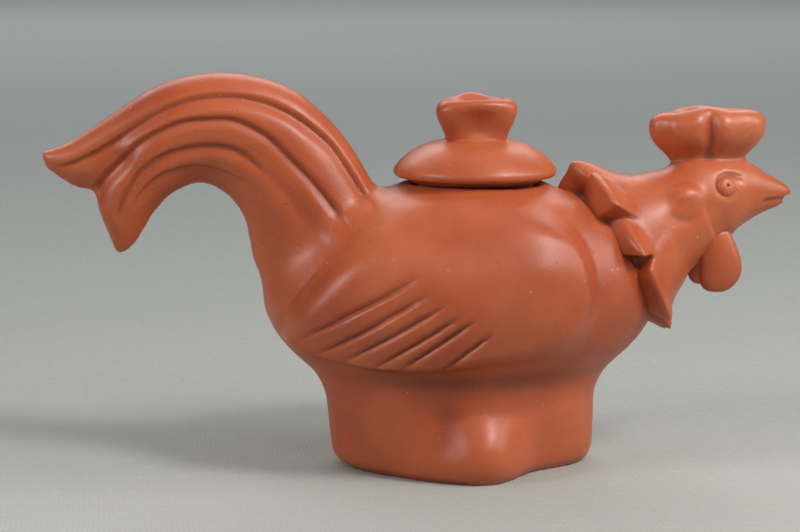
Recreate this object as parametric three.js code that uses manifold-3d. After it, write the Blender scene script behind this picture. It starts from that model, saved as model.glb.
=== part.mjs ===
// A chicken-shaped yixing teapot: a hollow pot of luted clay pieces and its lift-off lid.
// Millimetres, +Z up, +X towards the beak, origin at the centre of the foot's flat base.
import * as THREE from "three";
import { mergeVertices } from "three/addons/utils/BufferGeometryUtils.js";
import Module from "manifold-3d";

const wasm = await Module();
wasm.setup();

// Clay wall and the slip joints between pieces
const WALL = 3;
const SLIP_GAP = 0.3;

// Foot: plan on the ground, above its rounded edge, and at the waist, where the belly starts
const GROUND_FRONT = 27.3;
const GROUND_REAR = 25.4;
const GROUND_SIDE = 25;
const FOOT_FRONT = 30.4;
const FOOT_REAR = 30.8;
const FOOT_SIDE = 27.4;
const FOOT_EDGE = 4.4;
const FOOT_FLOOR = 4;
const WAIST_FRONT = 30.6;
const WAIST_REAR = 32;
const WAIST_SIDE = 24;
const WAIST_HEIGHT = 16;

// Belly: plan at its widest level
const BELLY_FRONT = 45.3;
const BELLY_REAR = 46.5;
const BELLY_SIDE = 30.5;
const BELLY_HEIGHT = 40;

// Mouth: the shoulder's flat top, the rim on it and the throat through both
const MOUTH_FORWARD = 2.5;
const MOUTH_RADIUS = 17.4;
const SHOULDER_HEIGHT = 64;
const RIM_THICKNESS = 1.4;
const THROAT_RADIUS = 14;

// Strainer: holes through the belly wall inside the neck
const STRAINER_HOLE = 3;
const STRAINER_RING = 5.2;
const STRAINER_HOLES_AROUND = 6;

// Neck and head, measured on from the belly's front, and down from the shoulder
const HEAD_REACH = 31.7;
const HEAD_BELOW_SHOULDER = 2.3;
const NECK_RISE = 21.7;
const NECK_RADIUS = 12;
const NECK_PITCH = 33;
const HEAD_DEPTH = 11;
const HEAD_HALF_WIDTH = 9.5;
const POUR_HOLE = 3.8;

// Comb
const COMB_LENGTH = 25;
const COMB_WIDTH = 13;
const COMB_RISE = 16;
const COMB_LOBES = 6;

// Wattles, ear lobes and eyes
const WATTLE_DROP = 15;
const WATTLE_WIDTH = 10.2;
const WATTLE_THICKNESS = 4.8;
const WATTLE_SPREAD = 12;
const EAR_LENGTH = 8;
const EAR_HEIGHT = 6;
const EAR_THICKNESS = 4;
const EYE_RADIUS = 2.4;
const EYE_RELIEF = 0.75;

// Collar of feathers around the neck
const COLLAR_ROOT_RADIUS = 13.6;
const COLLAR_TIP_RADIUS = 22;
const COLLAR_LENGTH = 13.5;

// Wings: pads of clay on the belly's sides, with cut grooves
const WING_LENGTH = 62;
const WING_BELOW_SHOULDER = 4.8;
const WING_BELOW_BELLY = 12.8;
const WING_FRONT = 22.5;
const WING_THICKNESS = 3;
const GROOVE_WIDTH = 2.4;
const GROOVE_DEPTH = 1.3;

// Tail, which is the handle, measured back from the belly's rear, and up from the shoulder
const TAIL_REACH = 50.5;
const TAIL_OVER_SHOULDER = 27;
const TAIL_HALF_WIDTH = 9;

// Lid: cover, flange inside the throat, knob and air vent
const LID_RADIUS = 18.7;
const LID_RISE = 9.5;
const LID_HOLLOW = 5.4;
const FLANGE_DROP = 7;
const FLANGE_WALL = 2.2;
const FLANGE_CLEARANCE = 0.6;
const KNOB_RADIUS = 9.3;
const KNOB_FOOT_RADIUS = 7.2;
const KNOB_HEIGHT = 9.4;
const KNOB_LOBES = 3;
const VENT_HOLE = 1.6;

// Counts that set how finely each surface is divided
const POT_SIDES = 40;
const NECK_SIDES = 28;
const BORE_SIDES = 16;
const HOLE_SIDES = 10;
const LID_SIDES = 40;
const COMB_SIDES = 36;
const LOCK_SIDES = 10;
const LOCK_STEPS = 17;
const WING_STEPS = 20;
const WING_ROWS = 7;

const CLAY = { color: 0xb05c39, roughness: 0.5, metalness: 0 };
const SHADED_CLAY = { color: 0x9e5232, roughness: 0.55, metalness: 0 };
const POLISHED_CLAY = { color: 0xc56d47, roughness: 0.42, metalness: 0 };

const radians = THREE.MathUtils.degToRad;
const upward = new THREE.Vector3(0, 0, 1);

// Surfaces and solids

/** A closed geometry from rings of equal point counts, each joined to the next. */
function loft(rings, { loop = false } = {}) {
  const sides = rings[0].length;
  const points = rings.flat();
  const faces = [];
  const spans = loop ? rings.length : rings.length - 1;
  for (let i = 0; i < spans; i++) {
    const low = i * sides;
    const high = ((i + 1) % rings.length) * sides;
    for (let k = 0; k < sides; k++) {
      const next = (k + 1) % sides;
      faces.push([low + k, low + next, high + next], [low + k, high + next, high + k]);
    }
  }
  if (!loop) {
    for (const [ring, start] of [[rings[0], 0], [rings.at(-1), (rings.length - 1) * sides]]) {
      const middle = new THREE.Vector3();
      ring.forEach((point) => middle.addScaledVector(point, 1 / sides));
      points.push(middle);
      for (let k = 0; k < sides; k++) {
        const edge = [start + k, start + ((k + 1) % sides)];
        faces.push(start === 0 ? [edge[1], edge[0], points.length - 1] : [...edge, points.length - 1]);
      }
    }
  }
  return facedOut(points, faces);
}

/** A geometry from points and triangles, turned over if its faces point inwards. */
function facedOut(points, faces) {
  let volume = 0;
  for (const [a, b, c] of faces) {
    volume += points[a].dot(new THREE.Vector3().crossVectors(points[b], points[c]));
  }
  const order = volume < 0 ? faces.map(([a, b, c]) => [a, c, b]) : faces;
  const geometry = new THREE.BufferGeometry().setFromPoints(points);
  geometry.setIndex(order.flat());
  return geometry;
}

/** A manifold solid from a closed geometry, for joins and cuts. */
function toSolid(geometry) {
  const bare = geometry.clone();
  bare.deleteAttribute("normal");
  bare.deleteAttribute("uv");
  const merged = mergeVertices(bare);
  return new wasm.Manifold(
    new wasm.Mesh({
      numProp: 3,
      vertProperties: merged.attributes.position.array,
      triVerts: new Uint32Array(merged.index.array),
    }),
  );
}

/** The geometry of a manifold solid. */
function toGeometry(solid) {
  const { vertProperties, triVerts } = solid.getMesh();
  const geometry = new THREE.BufferGeometry();
  geometry.setAttribute("position", new THREE.BufferAttribute(vertProperties, 3));
  geometry.setIndex(new THREE.BufferAttribute(triVerts, 1));
  return geometry;
}

/** The largest body of a solid, without the slivers that a cut can leave. */
function largestBody(solid) {
  return solid.decompose().reduce((kept, body) => (body.volume() > kept.volume() ? body : kept));
}

/** A geometry with others cut out of it. */
function cut(geometry, ...cutters) {
  const left = cutters.reduce((solid, cutter) => solid.subtract(toSolid(cutter)), toSolid(geometry));
  return toGeometry(largestBody(left));
}

/** Rows of hand-chosen numbers made denser along a smooth curve through them. */
function smoothRows(rows, steps) {
  const columns = rows[0].map((_, column) =>
    new THREE.CatmullRomCurve3(rows.map((row, i) => new THREE.Vector3(i, row[column], 0))));
  return Array.from({ length: steps + 1 }, (_, i) =>
    columns.map((curve) => curve.getPoint(i / steps).y));
}

/** The same geometry mirrored to the pot's other side. */
function mirrored(geometry) {
  const copy = geometry.clone().scale(1, -1, 1);
  copy.index.array.reverse();
  return copy;
}

// Pot wall

const groundPlan = plan(0, GROUND_FRONT, GROUND_REAR, GROUND_SIDE, 0.25, 0.12);
const footPlan = plan(0, FOOT_FRONT, FOOT_REAR, FOOT_SIDE, 0.24, 0.1);
const waistPlan = plan(0, WAIST_FRONT, WAIST_REAR, WAIST_SIDE, 0.14, 0.05);
const bellyPlan = plan(0, BELLY_FRONT, BELLY_REAR, BELLY_SIDE, 0, 0);
const mouthPlan = plan(MOUTH_FORWARD, MOUTH_RADIUS, MOUTH_RADIUS, MOUTH_RADIUS, 0, 0);
const throatPlan = plan(MOUTH_FORWARD, THROAT_RADIUS, THROAT_RADIUS, THROAT_RADIUS, 0, 0);

// [height share, spread share] from waist to belly, and from belly to mouth
const flareShares = [
  [0, 0], [0.1, 0.05], [0.26, 0.2], [0.41, 0.47], [0.56, 0.7], [0.7, 0.85], [0.85, 0.96], [1, 1],
];
const shoulderShares = [
  [0.13, 0.985], [0.3, 0.92], [0.43, 0.83], [0.56, 0.73], [0.69, 0.615],
  [0.8, 0.48], [0.88, 0.35], [0.95, 0.2], [1, 0],
];

/** A plan outline: half lengths ahead, behind and to the sides, and how far its diagonals draw in. */
function plan(forward, front, rear, side, frontDrawShare, rearDrawShare) {
  return { forward, front, rear, side, frontDrawShare, rearDrawShare };
}

/** The outline between two plans. */
function between(a, b, share) {
  return Object.fromEntries(Object.keys(a).map((key) => [key, a[key] + (b[key] - a[key]) * share]));
}

/** A plan drawn in by one distance all round. */
function drawnIn(outline, distance) {
  const { front, rear, side } = outline;
  return { ...outline, front: front - distance, rear: rear - distance, side: side - distance };
}

/** The distance from the plan's centre to its outline in one direction. */
function planRadius(outline, angle) {
  const ahead = Math.cos(angle) >= 0;
  const length = ahead ? outline.front : outline.rear;
  const drawShare = ahead ? outline.frontDrawShare : outline.rearDrawShare;
  const ellipse = 1 / Math.hypot(Math.cos(angle) / length, Math.sin(angle) / outline.side);
  return ellipse * (1 - drawShare * Math.sin(2 * angle) ** 2);
}

/** A point on a plan outline at one height. */
function planPoint(outline, height, angle) {
  const radius = planRadius(outline, angle);
  return new THREE.Vector3(outline.forward + radius * Math.cos(angle), radius * Math.sin(angle), height);
}

/** A ring of points around a plan outline. */
function planRing(outline, height) {
  return Array.from({ length: POT_SIDES }, (_, k) =>
    planPoint(outline, height, (2 * Math.PI * k) / POT_SIDES));
}

/** The outer wall as [plan, height] rows from the waist to the shoulder's top. */
function bellyRows() {
  const flare = flareShares.map(([up, spread]) => [
    between(waistPlan, bellyPlan, spread),
    WAIST_HEIGHT + (BELLY_HEIGHT - WAIST_HEIGHT) * up,
  ]);
  const shoulder = shoulderShares.map(([up, spread]) => [
    between(mouthPlan, bellyPlan, spread),
    BELLY_HEIGHT + (SHOULDER_HEIGHT - BELLY_HEIGHT) * up,
  ]);
  return [...flare, ...shoulder];
}

/** Rings moved out along the surface's normals, or in where the distance is negative. */
function offsetRings(rings, distance) {
  return rings.map((ring, i) =>
    ring.map((point, k) => {
      const along = rings[Math.min(i + 1, rings.length - 1)][k].clone().sub(rings[Math.max(i - 1, 0)][k]);
      const around = ring[(k + 1) % ring.length].clone().sub(ring[(k + ring.length - 1) % ring.length]);
      const normal = around.cross(along).normalize();
      return point.clone().addScaledVector(normal, distance);
    }));
}

/** A ring laid flat at one height. */
function levelled(ring, height) {
  return ring.map((point) => new THREE.Vector3(point.x, point.y, height));
}

const bellyRings = bellyRows().map(([outline, height]) => planRing(outline, height));
const bellyLining = offsetRings(bellyRings, -WALL);
bellyLining[0] = levelled(bellyLining[0], WAIST_HEIGHT);

/** The foot: a cup with lobed walls, a rounded lower edge and a flat base. */
function footGeometry() {
  const edge = [0, 1 / 3, 2 / 3, 1].map((turnShare) => {
    const turn = (Math.PI / 2) * turnShare;
    return planRing(between(groundPlan, footPlan, Math.sin(turn)), FOOT_EDGE * (1 - Math.cos(turn)));
  });
  const wall = [0.35, 0.7].map((share) =>
    planRing(between(footPlan, waistPlan, share), FOOT_EDGE + (WAIST_HEIGHT - FOOT_EDGE) * share));
  const lining = [0.6, 0].map((share) => {
    const outline = drawnIn(between(footPlan, waistPlan, share), WALL);
    return planRing(outline, FOOT_FLOOR + (WAIST_HEIGHT - FOOT_FLOOR) * share);
  });
  return loft([...edge, ...wall, bellyRings[0], bellyLining[0], ...lining]);
}

/** The belly's shell from the waist to the shoulder, with the strainer holes cut through it. */
function bodyShellGeometry() {
  const throatBottom = bellyLining.at(-1)[0].z;
  const shell = loft(
    [
      ...bellyRings,
      planRing(throatPlan, SHOULDER_HEIGHT),
      planRing(throatPlan, throatBottom),
      ...bellyLining.filter((_, i) => i % 2 === 0).toReversed(),
    ],
    { loop: true },
  );
  return cut(shell, ...strainerDrills());
}

/** The belly as a filled solid, grown by a distance, for cutting what is luted onto it. */
function filledBelly(distance) {
  return loft(offsetRings(bellyRings, distance));
}

/** The rim on the shoulder's flat top, with a softened upper edge. */
function mouthRimGeometry() {
  const top = SHOULDER_HEIGHT + RIM_THICKNESS;
  const soft = RIM_THICKNESS * 0.3;
  return loft(
    [
      planRing(mouthPlan, SHOULDER_HEIGHT),
      planRing(mouthPlan, top - soft),
      planRing(drawnIn(mouthPlan, soft), top),
      planRing(throatPlan, top),
      planRing(throatPlan, SHOULDER_HEIGHT),
    ],
    { loop: true },
  );
}

// Neck and head: sections along a spine

/** A point of the spine from shares of the head's reach and of the neck's rise up to it. */
function spinePoint(reachShare, riseShare) {
  const headHeight = SHOULDER_HEIGHT - HEAD_BELOW_SHOULDER;
  return new THREE.Vector3(BELLY_FRONT + HEAD_REACH * reachShare, 0, headHeight + NECK_RISE * (riseShare - 1));
}

/** The direction that a section at one pitch faces. */
function facing(pitch) {
  return new THREE.Vector3(Math.cos(radians(pitch)), 0, Math.sin(radians(pitch)));
}

/** An oval ring in the plane that faces along one pitch. */
function sectionRing(centre, pitch, depth, halfWidth, sides) {
  const up = new THREE.Vector3(-Math.sin(radians(pitch)), 0, Math.cos(radians(pitch)));
  return Array.from({ length: sides }, (_, k) => {
    const angle = (2 * Math.PI * k) / sides;
    return centre.clone().addScaledVector(up, depth * Math.cos(angle))
      .add(new THREE.Vector3(0, halfWidth * Math.sin(angle), 0));
  });
}

// [reach share, rise share, pitch, radius share] of the neck, from inside the belly to the head's joint
const neckShares = [
  [-0.58, 0.21, 27, 1.54], [-0.39, 0.345, 27, 1.42], [-0.226, 0.45, 27, 1.19], [-0.065, 0.576, 28, 1.04],
  [0.08, 0.705, NECK_PITCH, 1],
];
// [reach share, rise share, pitch, depth share, width share] of the head, from the joint to the beak's tip
const headShares = [
  [0.21, 0.83, 38, 0.96, 1.08], [0.33, 0.95, 30, 0.98, 1],
  [0.452, 0.99, 18, 0.91, 0.93], [0.568, 1.018, 8, 0.76, 0.8],
  [0.684, 1.025, 0, 0.62, 0.6], [0.787, 1.005, -5, 0.44, 0.44], [0.884, 0.994, -8, 0.31, 0.31],
  [0.955, 0.985, -8, 0.21, 0.2], [1.005, 0.975, -8, 0.09, 0.08],
];
// [reach share, rise share, pitch, share of the joint's bore] of the bore in the head
const headBoreShares = [
  [0.03, 0.66, 33, 1], [0.21, 0.843, 36, 0.86], [0.355, 0.96, 22, 0.76], [0.516, 0.995, 5, 0.56],
  [0.677, 1, -3, 0.33],
];
// [reach share, rise share] of the pour hole, out between the halves of the beak
const pourShares = [[0.774, 0.995], [0.87, 0.965], [1.03, 0.917]];

/** The neck's rings, grown by a distance. */
function neckRings(distance) {
  return neckShares.map(([reach, rise, pitch, radius]) => {
    const size = NECK_RADIUS * radius + distance;
    return sectionRing(spinePoint(reach, rise), pitch, size, size, NECK_SIDES);
  });
}

/** The neck: a flared tube from the belly's front to the head. */
function neckGeometry() {
  const lining = neckRings(-WALL);
  const tube = loft([...neckRings(0), ...lining.toReversed()], { loop: true });
  return cut(tube, filledBelly(SLIP_GAP));
}

/** The head's sections from the joint to the beak's tip, as [centre, pitch, depth, half width]. */
function headSections() {
  const [reach, rise] = neckShares.at(-1);
  const joint = spinePoint(reach, rise).addScaledVector(facing(NECK_PITCH), SLIP_GAP);
  const sections = headShares.map(([reachShare, riseShare, pitch, depthShare, widthShare]) =>
    [spinePoint(reachShare, riseShare), pitch, HEAD_DEPTH * depthShare, HEAD_HALF_WIDTH * widthShare]);
  return [[joint, NECK_PITCH, NECK_RADIUS, NECK_RADIUS], ...sections];
}

/** The head as a filled solid, grown by a distance. */
function filledHead(distance) {
  return loft(headSections().map(([centre, pitch, depth, halfWidth], i) => {
    const start = i === 0 ? centre.addScaledVector(facing(pitch), -distance) : centre;
    return sectionRing(start, pitch, depth + distance, halfWidth + distance, NECK_SIDES);
  }));
}

/** A point on the right side of the head's skin: how far along its sections, and how far round from the top. */
function headSkin(station, turnShare) {
  const low = Math.floor(station);
  const [[a, pitchA, depthA, widthA], [b, pitchB, depthB, widthB]] = headSections().slice(low, low + 2);
  const share = station - low;
  const mix = (from, to) => from + (to - from) * share;
  const pitch = radians(mix(pitchA, pitchB));
  const turn = Math.PI * turnShare;
  return a.clone().lerp(b, share)
    .addScaledVector(new THREE.Vector3(-Math.sin(pitch), 0, Math.cos(pitch)), mix(depthA, depthB) * Math.cos(turn))
    .add(new THREE.Vector3(0, -mix(widthA, widthB) * Math.sin(turn), 0));
}

/** The head's outward direction at a point of its right side. */
function headNormal(station, turnShare) {
  const along = headSkin(station + 0.1, turnShare).sub(headSkin(station - 0.1, turnShare));
  const round = headSkin(station, turnShare + 0.01).sub(headSkin(station, turnShare - 0.01));
  return round.cross(along).normalize();
}

/** The head: hollow from the neck's bore down to the pour hole in the beak. */
function headGeometry() {
  const bore = headBoreShares.map(([reach, rise, pitch, radius]) => {
    const size = (NECK_RADIUS - WALL) * radius;
    return sectionRing(spinePoint(reach, rise), pitch, size, size, BORE_SIDES);
  });
  const pour = pourShares.map(([reach, rise]) =>
    sectionRing(spinePoint(reach, rise), -8, POUR_HOLE / 2, POUR_HOLE / 2, BORE_SIDES));
  return cut(filledHead(0), loft([...bore, ...pour]));
}

/** The strainer's drills: one on the neck's axis and a ring around it. */
function strainerDrills() {
  const [reach, rise, pitch] = neckShares[0];
  const length = BELLY_FRONT;
  const places = [[0, 0]];
  for (let k = 0; k < STRAINER_HOLES_AROUND; k++) {
    const angle = (2 * Math.PI * k) / STRAINER_HOLES_AROUND;
    places.push([STRAINER_RING * Math.cos(angle), STRAINER_RING * Math.sin(angle)]);
  }
  return places.map(([up, across]) => {
    const drill = new THREE.CylinderGeometry(STRAINER_HOLE / 2, STRAINER_HOLE / 2, length, HOLE_SIDES);
    drill.rotateZ(-Math.PI / 2).translate(length / 2, across, up).rotateY(-radians(pitch));
    const start = spinePoint(reach, rise);
    return drill.translate(start.x, start.y, start.z);
  });
}

// Comb and knob: lobed forms

/** A ring with lobes around an upright axis. */
function lobedRing(centre, length, halfWidth, lobes, lobeShare, sides, turn = 0, lobeRise = 0) {
  return Array.from({ length: sides }, (_, k) => {
    const angle = (2 * Math.PI * k) / sides;
    const wave = Math.cos(lobes * (angle - turn));
    const away = new THREE.Vector3(length * Math.cos(angle), halfWidth * Math.sin(angle), 0);
    return centre.clone()
      .addScaledVector(away, 1 + lobeShare * wave)
      .addScaledVector(upward, lobeRise * wave);
  });
}

// [height share, length share, width share, lobe share] of the comb, from inside the head to its crown
const combShares = [
  [0, 0.68, 0.6, 0.03], [0.19, 0.76, 0.65, 0.05], [0.38, 0.865, 0.76, 0.08], [0.54, 0.95, 0.89, 0.1],
  [0.7, 0.99, 1, 0.11], [0.84, 0.97, 0.97, 0.11], [0.94, 0.84, 0.82, 0.1], [0.98, 0.6, 0.54, 0.07],
];

/** The comb: a flared six-lobed crest, seated on the head. */
function combGeometry() {
  const foot = spinePoint(0.366, 1.2);
  const rings = combShares.map(([up, length, width, lobe]) => {
    const centre = foot.clone().addScaledVector(upward, COMB_RISE * up);
    const [halfLength, halfWidth] = [(COMB_LENGTH / 2) * length, (COMB_WIDTH / 2) * width];
    return lobedRing(centre, halfLength, halfWidth, COMB_LOBES, lobe, COMB_SIDES);
  });
  return cut(loft(rings), filledHead(SLIP_GAP));
}

// [height share, radius share, lobe share] of the knob above its foot
const knobShares = [
  [0.12, 0.79, 0.01], [0.28, 0.84, 0.03], [0.46, 0.93, 0.06],
  [0.64, 0.99, 0.09], [0.8, 0.98, 0.11], [0.92, 0.91, 0.13],
  [1, 0.74, 0.12], [0.94, 0.4, 0.05],
];

/** The knob: a three-lobed cup standing on the cover, with the vent down its middle. */
function lidKnobGeometry() {
  const base = lidTop();
  const axis = new THREE.Vector3(MOUTH_FORWARD, 0, base);
  const turn = Math.PI / 2;
  const round = (radius, height) =>
    lobedRing(new THREE.Vector3(MOUTH_FORWARD, 0, height), radius, radius, KNOB_LOBES, 0, LID_SIDES);
  const body = knobShares.map(([up, radius, lobe]) => {
    const centre = axis.clone().addScaledVector(upward, KNOB_HEIGHT * up);
    const size = KNOB_RADIUS * radius;
    const lobeRise = KNOB_HEIGHT * lobe * up * 0.5;
    return lobedRing(centre, size, size, KNOB_LOBES, lobe, LID_SIDES, turn, lobeRise);
  });
  return loft(
    [
      round(KNOB_FOOT_RADIUS, base),
      ...body,
      round(VENT_HOLE / 2, base + KNOB_HEIGHT * 0.93),
      round(VENT_HOLE / 2, base),
    ],
    { loop: true },
  );
}

// Lid

/** The height of the lid's underside, one gap above the rim. */
function lidSeat() {
  return SHOULDER_HEIGHT + RIM_THICKNESS + SLIP_GAP;
}

/** The height of the flat top of the cover. */
function lidTop() {
  return lidSeat() + LID_RISE;
}

/** A turned geometry about the mouth's axis, from a closed profile of [radius, height] rows. */
function turned(profile) {
  const points = [...profile, profile[0]].map(([radius, height]) => new THREE.Vector2(radius, height));
  const geometry = new THREE.LatheGeometry(points, LID_SIDES);
  geometry.rotateX(Math.PI / 2).translate(MOUTH_FORWARD, 0, 0);
  geometry.deleteAttribute("uv");
  geometry.deleteAttribute("normal");
  return turnedOut(mergeVertices(geometry));
}

/** The same closed geometry with its faces pointing out. */
function turnedOut(geometry) {
  const position = geometry.attributes.position;
  const points = Array.from({ length: position.count }, (_, i) =>
    new THREE.Vector3().fromBufferAttribute(position, i));
  const faces = [];
  for (let i = 0; i < geometry.index.count; i += 3) {
    const corners = [0, 1, 2].map((k) => geometry.index.getX(i + k));
    if (new Set(corners).size === 3) faces.push(corners);
  }
  return facedOut(points, faces);
}

// [radius share, height share] down the cover's dome, from the knob's foot to the rounded edge
const domeShares = [[0.58, 0.86], [0.79, 0.66], [0.92, 0.46], [0.98, 0.3], [1, 0.2], [0.985, 0.1], [0.94, 0]];

/** The cover: a dome with a flat for the knob, a flat seat below and a hollow inside the flange. */
function lidCoverGeometry() {
  const seat = lidSeat();
  const vent = VENT_HOLE / 2;
  const inside = THROAT_RADIUS - FLANGE_CLEARANCE - FLANGE_WALL;
  const dome = domeShares.map(([out, up]) => [LID_RADIUS * out, seat + LID_RISE * up]);
  return turned([
    [vent, lidTop()],
    [KNOB_FOOT_RADIUS, lidTop()],
    ...dome,
    [inside, seat],
    [inside * 0.9, seat + LID_HOLLOW * 0.6],
    [inside * 0.5, seat + LID_HOLLOW * 0.93],
    [vent, seat + LID_HOLLOW],
  ]);
}

/** The flange: a ring that holds the lid in the throat, its lower edge softened. */
function lidFlangeGeometry() {
  const seat = lidSeat();
  const outside = THROAT_RADIUS - FLANGE_CLEARANCE;
  const soft = FLANGE_WALL * 0.3;
  return turned([
    [outside, seat],
    [outside, seat - FLANGE_DROP + soft],
    [outside - soft, seat - FLANGE_DROP],
    [outside - FLANGE_WALL, seat - FLANGE_DROP],
    [outside - FLANGE_WALL, seat],
  ]);
}

// Wattles, ear lobes and eyes

// [drop share, forward share of the width, width share, thickness share] down one wattle
const wattleShares = [
  [0, -0.05, 0.4, 0.6], [0.2, 0, 0.62, 0.8], [0.4, 0.05, 0.84, 0.96],
  [0.6, 0.08, 0.99, 1], [0.78, 0.04, 0.96, 0.9],
  [0.92, -0.02, 0.66, 0.66], [1, -0.03, 0.2, 0.3],
];

/** One wattle: a hanging drop of clay beside the throat, on the right. */
function wattleGeometry() {
  const top = spinePoint(0.42, 0.66);
  const rings = wattleShares.map(([drop, forward, width, thickness]) => {
    const centre = new THREE.Vector3(
      top.x + WATTLE_WIDTH * forward,
      -(WATTLE_SPREAD / 2) * (0.82 + 0.18 * drop),
      top.z - WATTLE_DROP * drop,
    );
    const [halfLength, halfWidth] = [(WATTLE_WIDTH / 2) * width, (WATTLE_THICKNESS / 2) * thickness];
    return lobedRing(centre, halfLength, halfWidth, 0, 0, BORE_SIDES);
  });
  return cut(loft(rings), filledHead(SLIP_GAP));
}

// [place along the head's sections, share of the half turn down from its top] of the ear lobe and the eye
const earPlaceShares = [0.86, 0.45];
const eyePlaceShares = [3.42, 0.405];

/** A pellet turned about its own axis and laid on the right of the head's skin. */
function pellet(profile, station, turnShare, lengthShare = 1) {
  const points = profile.map(([radius, height]) => new THREE.Vector2(radius, height));
  const geometry = new THREE.LatheGeometry(points, BORE_SIDES);
  geometry.deleteAttribute("uv");
  geometry.deleteAttribute("normal");
  const closed = turnedOut(mergeVertices(geometry)).scale(1, 1, lengthShare).rotateX(Math.PI);
  const outward = headNormal(station, turnShare);
  const lean = new THREE.Quaternion().setFromUnitVectors(new THREE.Vector3(0, -1, 0), outward);
  const centre = headSkin(station, turnShare).addScaledVector(outward, SLIP_GAP);
  return cut(closed.applyQuaternion(lean).translate(centre.x, centre.y, centre.z), filledHead(SLIP_GAP));
}

/** One ear lobe: a low oval cushion behind the eye, on the right. */
function earLobeGeometry() {
  const profile = [[0, -0.5], [0.8, -0.5], [1, -0.1], [0.93, 0.16], [0.7, 0.36], [0.36, 0.47], [0, 0.5]];
  const sized = profile.map(([out, up]) => [(EAR_LENGTH / 2) * out, EAR_THICKNESS * up]);
  return pellet(sized, ...earPlaceShares, EAR_HEIGHT / EAR_LENGTH);
}

// [radius share, relief share] across the eye, from its base to the raised pupil
const eyeShares = [
  [0.8, -2], [1, -1], [1, 0.5], [0.9, 0.9], [0.75, 0.8], [0.64, 0.3], [0.52, 0.35], [0.4, 0.85], [0, 1],
];

/** One eye: a ringed pellet with a raised pupil, on the right. */
function eyeGeometry() {
  const sized = eyeShares.map(([out, up]) => [EYE_RADIUS * out, EYE_RELIEF * up]);
  const profile = [[0, sized[0][1]], ...sized];
  return pellet(profile, ...eyePlaceShares);
}

// Collar feathers: a sawtooth ruff round the flared neck

// [reach share, rise share] of the ruff's back plane on the spine
const collarShares = [-0.44, 0.333];
// [start share, end share] of the half turn from the top of the neck down, for each feather on the right side
const sideFeatherShares = [[0.11, 0.29], [0.3, 0.495], [0.505, 0.69], [0.7, 0.855]];
// Where the middle feathers at the very top and bottom end, as shares of the same half turn
const crestEdgeShare = 0.1;
const breastEdgeShare = 0.867;
// How far a feather's side edges turn round the neck over the collar's length, as a share of the half turn
const featherSlantShare = 0.122;
// [sweep share, rise share] round a side feather, which rises to an abrupt lower end, and round a middle one
const sideRiseShares = [[0, 0.08], [0.25, 0.28], [0.5, 0.55], [0.75, 0.85], [0.92, 1], [1, 0.94]];
const middleRiseShares = [[0, 0.12], [0.2, 0.42], [0.38, 0.85], [0.5, 1], [0.62, 0.85], [0.8, 0.42], [1, 0.12]];
// [length share, radius share] of the section's corners: at a feather's lowest, its highest, and the crest's
const lowSectionShares = [
  [1.25, -0.12], [1.02, 0], [0.8, 0.2], [0.62, 0.36], [0.52, 0.36], [0.44, 0.3], [0.3, -0.2], [0.9, -0.35],
];
const highSectionShares = [
  [1.25, -0.12], [1.02, 0.08], [0.76, 0.4], [0.4, 1], [0.3, 0.97], [0, 0.5], [0.1, -0.2], [0.9, -0.35],
];
const crestSectionShares = [
  [1.25, -0.1], [1.02, 0.12], [0.72, 0.46], [0.36, 1.04],
  [0.26, 1.04], [-0.2, 0.8], [0, -0.2], [0.9, -0.35],
];

/** The angle of a feather's side edge, which slants down the neck towards the head. */
function slantedEdge(edgeShare, lengthShare) {
  const side = Math.sign(Math.sin(Math.PI * edgeShare));
  return Math.PI * (edgeShare + side * featherSlantShare * (lengthShare - 0.4));
}

/** One collar feather between two edges round the neck, with its ridge rising along the sweep. */
function featherGeometry(startShare, endShare, riseShares, raisedShares = highSectionShares) {
  const pitch = neckShares[0][2];
  const up = new THREE.Vector3(-Math.sin(radians(pitch)), 0, Math.cos(radians(pitch)));
  const sideways = new THREE.Vector3(0, -1, 0);
  const back = spinePoint(...collarShares);
  const rings = riseShares.map(([sweep, rise]) =>
    lowSectionShares.map(([lowAlong, lowOut], i) => {
      const [highAlong, highOut] = raisedShares[i];
      const along = lowAlong + (highAlong - lowAlong) * rise;
      const out = lowOut + (highOut - lowOut) * rise;
      const start = slantedEdge(startShare, along);
      const angle = start + (slantedEdge(endShare, along) - start) * sweep;
      const outward = up.clone().multiplyScalar(Math.cos(angle)).addScaledVector(sideways, Math.sin(angle));
      return back.clone()
        .addScaledVector(facing(pitch), COLLAR_LENGTH * along)
        .addScaledVector(outward, COLLAR_ROOT_RADIUS + (COLLAR_TIP_RADIUS - COLLAR_ROOT_RADIUS) * out);
    }));
  return cut(loft(rings), loft(neckRings(SLIP_GAP)), filledBelly(SLIP_GAP), filledHead(SLIP_GAP));
}

/** All the collar's feathers: the crest, the right side, the breast and the left side. */
function collarGeometries() {
  const right = sideFeatherShares.map(([start, end]) => featherGeometry(start, end, sideRiseShares));
  return [
    featherGeometry(-crestEdgeShare, crestEdgeShare, middleRiseShares, crestSectionShares),
    ...right,
    featherGeometry(breastEdgeShare, 2 - breastEdgeShare, middleRiseShares),
    ...right.toReversed().map(mirrored),
  ];
}

// Wings

/** The belly's plan at one height. */
function planAt(height) {
  const rows = bellyRows();
  const next = Math.max(1, rows.findIndex(([, level]) => level >= height));
  const [[lowPlan, low], [highPlan, high]] = [rows[next - 1], rows[next]];
  return between(lowPlan, highPlan, (height - low) / (high - low));
}

/** A point on the belly's right side, by its place along the pot and its height. */
function sidePoint(x, height) {
  const outline = planAt(height);
  let [near, far] = [-Math.PI, 0];
  for (let i = 0; i < 40; i++) {
    const middle = (near + far) / 2;
    if (planPoint(outline, height, middle).x < x) near = middle;
    else far = middle;
  }
  return planPoint(outline, height, near);
}

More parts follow.
